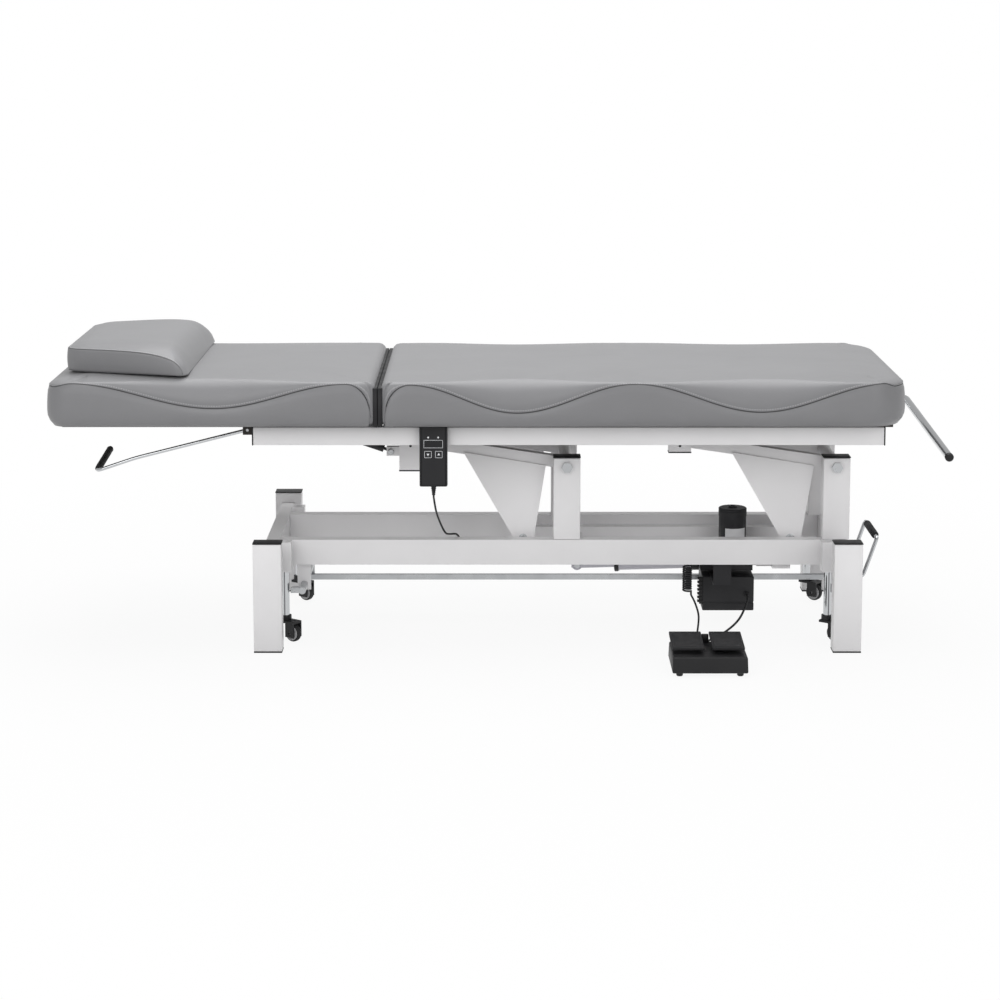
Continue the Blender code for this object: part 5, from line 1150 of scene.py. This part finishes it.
class TABLE_OT_casters(bpy.types.Operator):
    """Turn the wheels with their pale hub rings"""

    bl_idname = "table.casters"
    bl_label = "Casters"

    def execute(self, context):
        axis = Vector((0.6018, 0.7986, 0))
        tyre = ((0, 0.0122), (0, 0.017), (0.0012, 0.0188), (0.0035, 0.0198), (0.01, 0.0198),
                (0.0123, 0.0188), (0.0135, 0.017), (0.0135, 0.0122))
        ring = ((0.0008, 0), (0.0008, 0.009), (-0.0004, 0.0122), (-0.0004, 0.016),
                (0.0006, 0.0168), (0.0129, 0.0168), (0.0139, 0.016), (0.0139, 0.0122),
                (0.0127, 0.009), (0.0127, 0))
        for place in CORNERS:
            node = "caster_wheel_" + place
            low, high = node_box(node)
            start = (low + high) / 2 - axis * 0.00675
            bm = add_turned(bmesh.new(), start, start + axis, tyre, 48)
            finish_piece(bm, "tyre_" + place, "rubber", node, (node,), 40)
            turned_piece("hub_" + place, start, start + axis, ring, "hub", node, 40)
        return {"FINISHED"}


class TABLE_OT_stage(bpy.types.Operator):
    """Lay the pale floor and backdrop, the soft lamps and the camera"""

    bl_idname = "table.stage"
    bl_label = "Stage"

    def execute(self, context):
        self.link = context.scene.collection.objects.link
        self.camera(context.scene, context.scene.table_stage)
        self.floor()
        self.world(context.scene)
        self.lamps()
        context.scene.view_settings.view_transform = "Standard"
        return {"FINISHED"}

    def camera(self, scene, sizes):
        camera = bpy.data.objects.new("camera", bpy.data.cameras.new("camera"))
        self.link(camera)
        camera.data.sensor_width = 36
        camera.data.lens = sizes.focal
        camera.data.shift_y = sizes.shift
        camera.data.clip_end = 60
        camera.location = at(0, -0.2985 - sizes.distance, sizes.height)
        camera.rotation_euler = (math.pi / 2 - sizes.pitch, 0, 0)
        scene.camera = camera

    def floor(self):
        """A white paper sheet that keeps the table's shadow and is plain white far from it."""
        bm = bmesh.new()
        bmesh.ops.create_grid(bm, x_segments=1, y_segments=1, size=14)
        bmesh.ops.translate(bm, verts=bm.verts, vec=(0, 0, -0.0004))
        floor = bpy.data.meshes.new("floor")
        bm.to_mesh(floor)
        bm.free()
        piece = bpy.data.objects.new("floor", floor)
        self.link(piece)
        look, tree, shader, place = start_finish("paper_floor", (0.66, 0.66, 0.66, 1), 0.9)
        shader.inputs["Specular IOR Level"].default_value = 0.0
        away = add_node(tree, "VectorMath", {"operation": "LENGTH"}, {0: place})
        clear = add_node(
            tree, "MapRange",
            {"From Min": 0.8, "From Max": 2.2, "To Min": 0.92, "To Max": 1.0,
             "interpolation_type": "SMOOTHSTEP"},
            {"Value": away.outputs["Value"]},
        )
        seen = add_node(
            tree, "Math", {"operation": "MULTIPLY"},
            {0: self.seen_by(tree, "Is Glossy Ray"), 1: clear.outputs["Result"]},
        )
        self.whiten(tree, seen.outputs[0], shader, "Emission", "Material Output")
        floor.materials.append(look)

    def world(self, scene):
        """An even white sky, dimmer as a light than as the background."""
        scene.world = bpy.data.worlds.new("studio")
        scene.world.use_nodes = True
        tree = scene.world.node_tree
        back = tree.nodes["Background"]
        back.inputs["Color"].default_value = (1, 1, 1, 1)
        back.inputs["Strength"].default_value = 0.55
        seen = self.seen_by(tree, "Is Transmission Ray")
        self.whiten(tree, seen, back, "Background", "World Output")

    def seen_by(self, tree, other):
        """1 for the camera's rays and for one other kind."""
        path = add_node(tree, "LightPath").outputs
        either = add_node(
            tree, "Math", {"operation": "MAXIMUM"}, {0: path["Is Camera Ray"], 1: path[other]}
        )
        return either.outputs[0]

    def whiten(self, tree, share, base, glow, output):
        """Shows plain white instead of the base by that share."""
        white = add_node(tree, glow, {"Color": (1, 1, 1, 1), "Strength": 1.0})
        shaders = {0: share, 1: base.outputs[0], 2: white.outputs[0]}
        blend = add_node(tree, "MixShader", None, shaders)
        tree.links.new(blend.outputs[0], tree.nodes[output].inputs["Surface"])

    def lamps(self):
        for name, spot, target, size, power in (
            ("key", (-1.4, -3.0, 2.2), (0, 0, 0.4), 2.2, 38),
            ("fill", (2.2, -3.0, 1.4), (0.2, 0, 0.3), 2.0, 19),
            ("top", (0.0, 0.6, 3.2), (0, 0, 0.6), 3.0, 100),
        ):
            lamp = bpy.data.lights.new(name, "AREA")
            lamp.shape = "SQUARE"
            lamp.size = size
            lamp.energy = power
            holder = bpy.data.objects.new(name, lamp)
            self.link(holder)
            holder.location = at(*spot)
            aim = at(*target) - holder.location
            holder.rotation_euler = aim.to_track_quat("-Z", "Y").to_euler()


GROUPS = (
    ("table_cushion", CushionSizes),
    ("table_steel", SteelSizes),
    ("table_stage", StageSizes),
)
OPERATORS = (
    TABLE_OT_stage, TABLE_OT_finishes, TABLE_OT_cords, TABLE_OT_cushions, TABLE_OT_tubes,
    TABLE_OT_bars, TABLE_OT_handset, TABLE_OT_drive, TABLE_OT_switch, TABLE_OT_casters,
)


class TABLE_PT_panel(bpy.types.Panel):
    """Lists the sizes and the steps"""

    bl_idname = "TABLE_PT_panel"
    bl_label = "Examination table"
    bl_space_type = "VIEW_3D"
    bl_region_type = "UI"
    bl_category = "Table"

    def draw(self, context):
        for name, group in GROUPS:
            box = self.layout.box()
            for key in group.__annotations__:
                box.prop(getattr(context.scene, name), key)
        for operator in OPERATORS:
            self.layout.operator(operator.bl_idname)


def register():
    for name, group in GROUPS:
        bpy.utils.register_class(group)
        setattr(bpy.types.Scene, name, PointerProperty(type=group))
    for made in (*OPERATORS, TABLE_PT_panel):
        bpy.utils.register_class(made)


def unregister():
    for made in reversed((*OPERATORS, TABLE_PT_panel)):
        bpy.utils.unregister_class(made)
    for name, group in reversed(GROUPS):
        delattr(bpy.types.Scene, name)
        bpy.utils.unregister_class(group)


def main():
    register()
    for operator in OPERATORS:
        family, _, action = operator.bl_idname.partition(".")
        getattr(getattr(bpy.ops, family), action)()


if __name__ == "__main__":
    main()
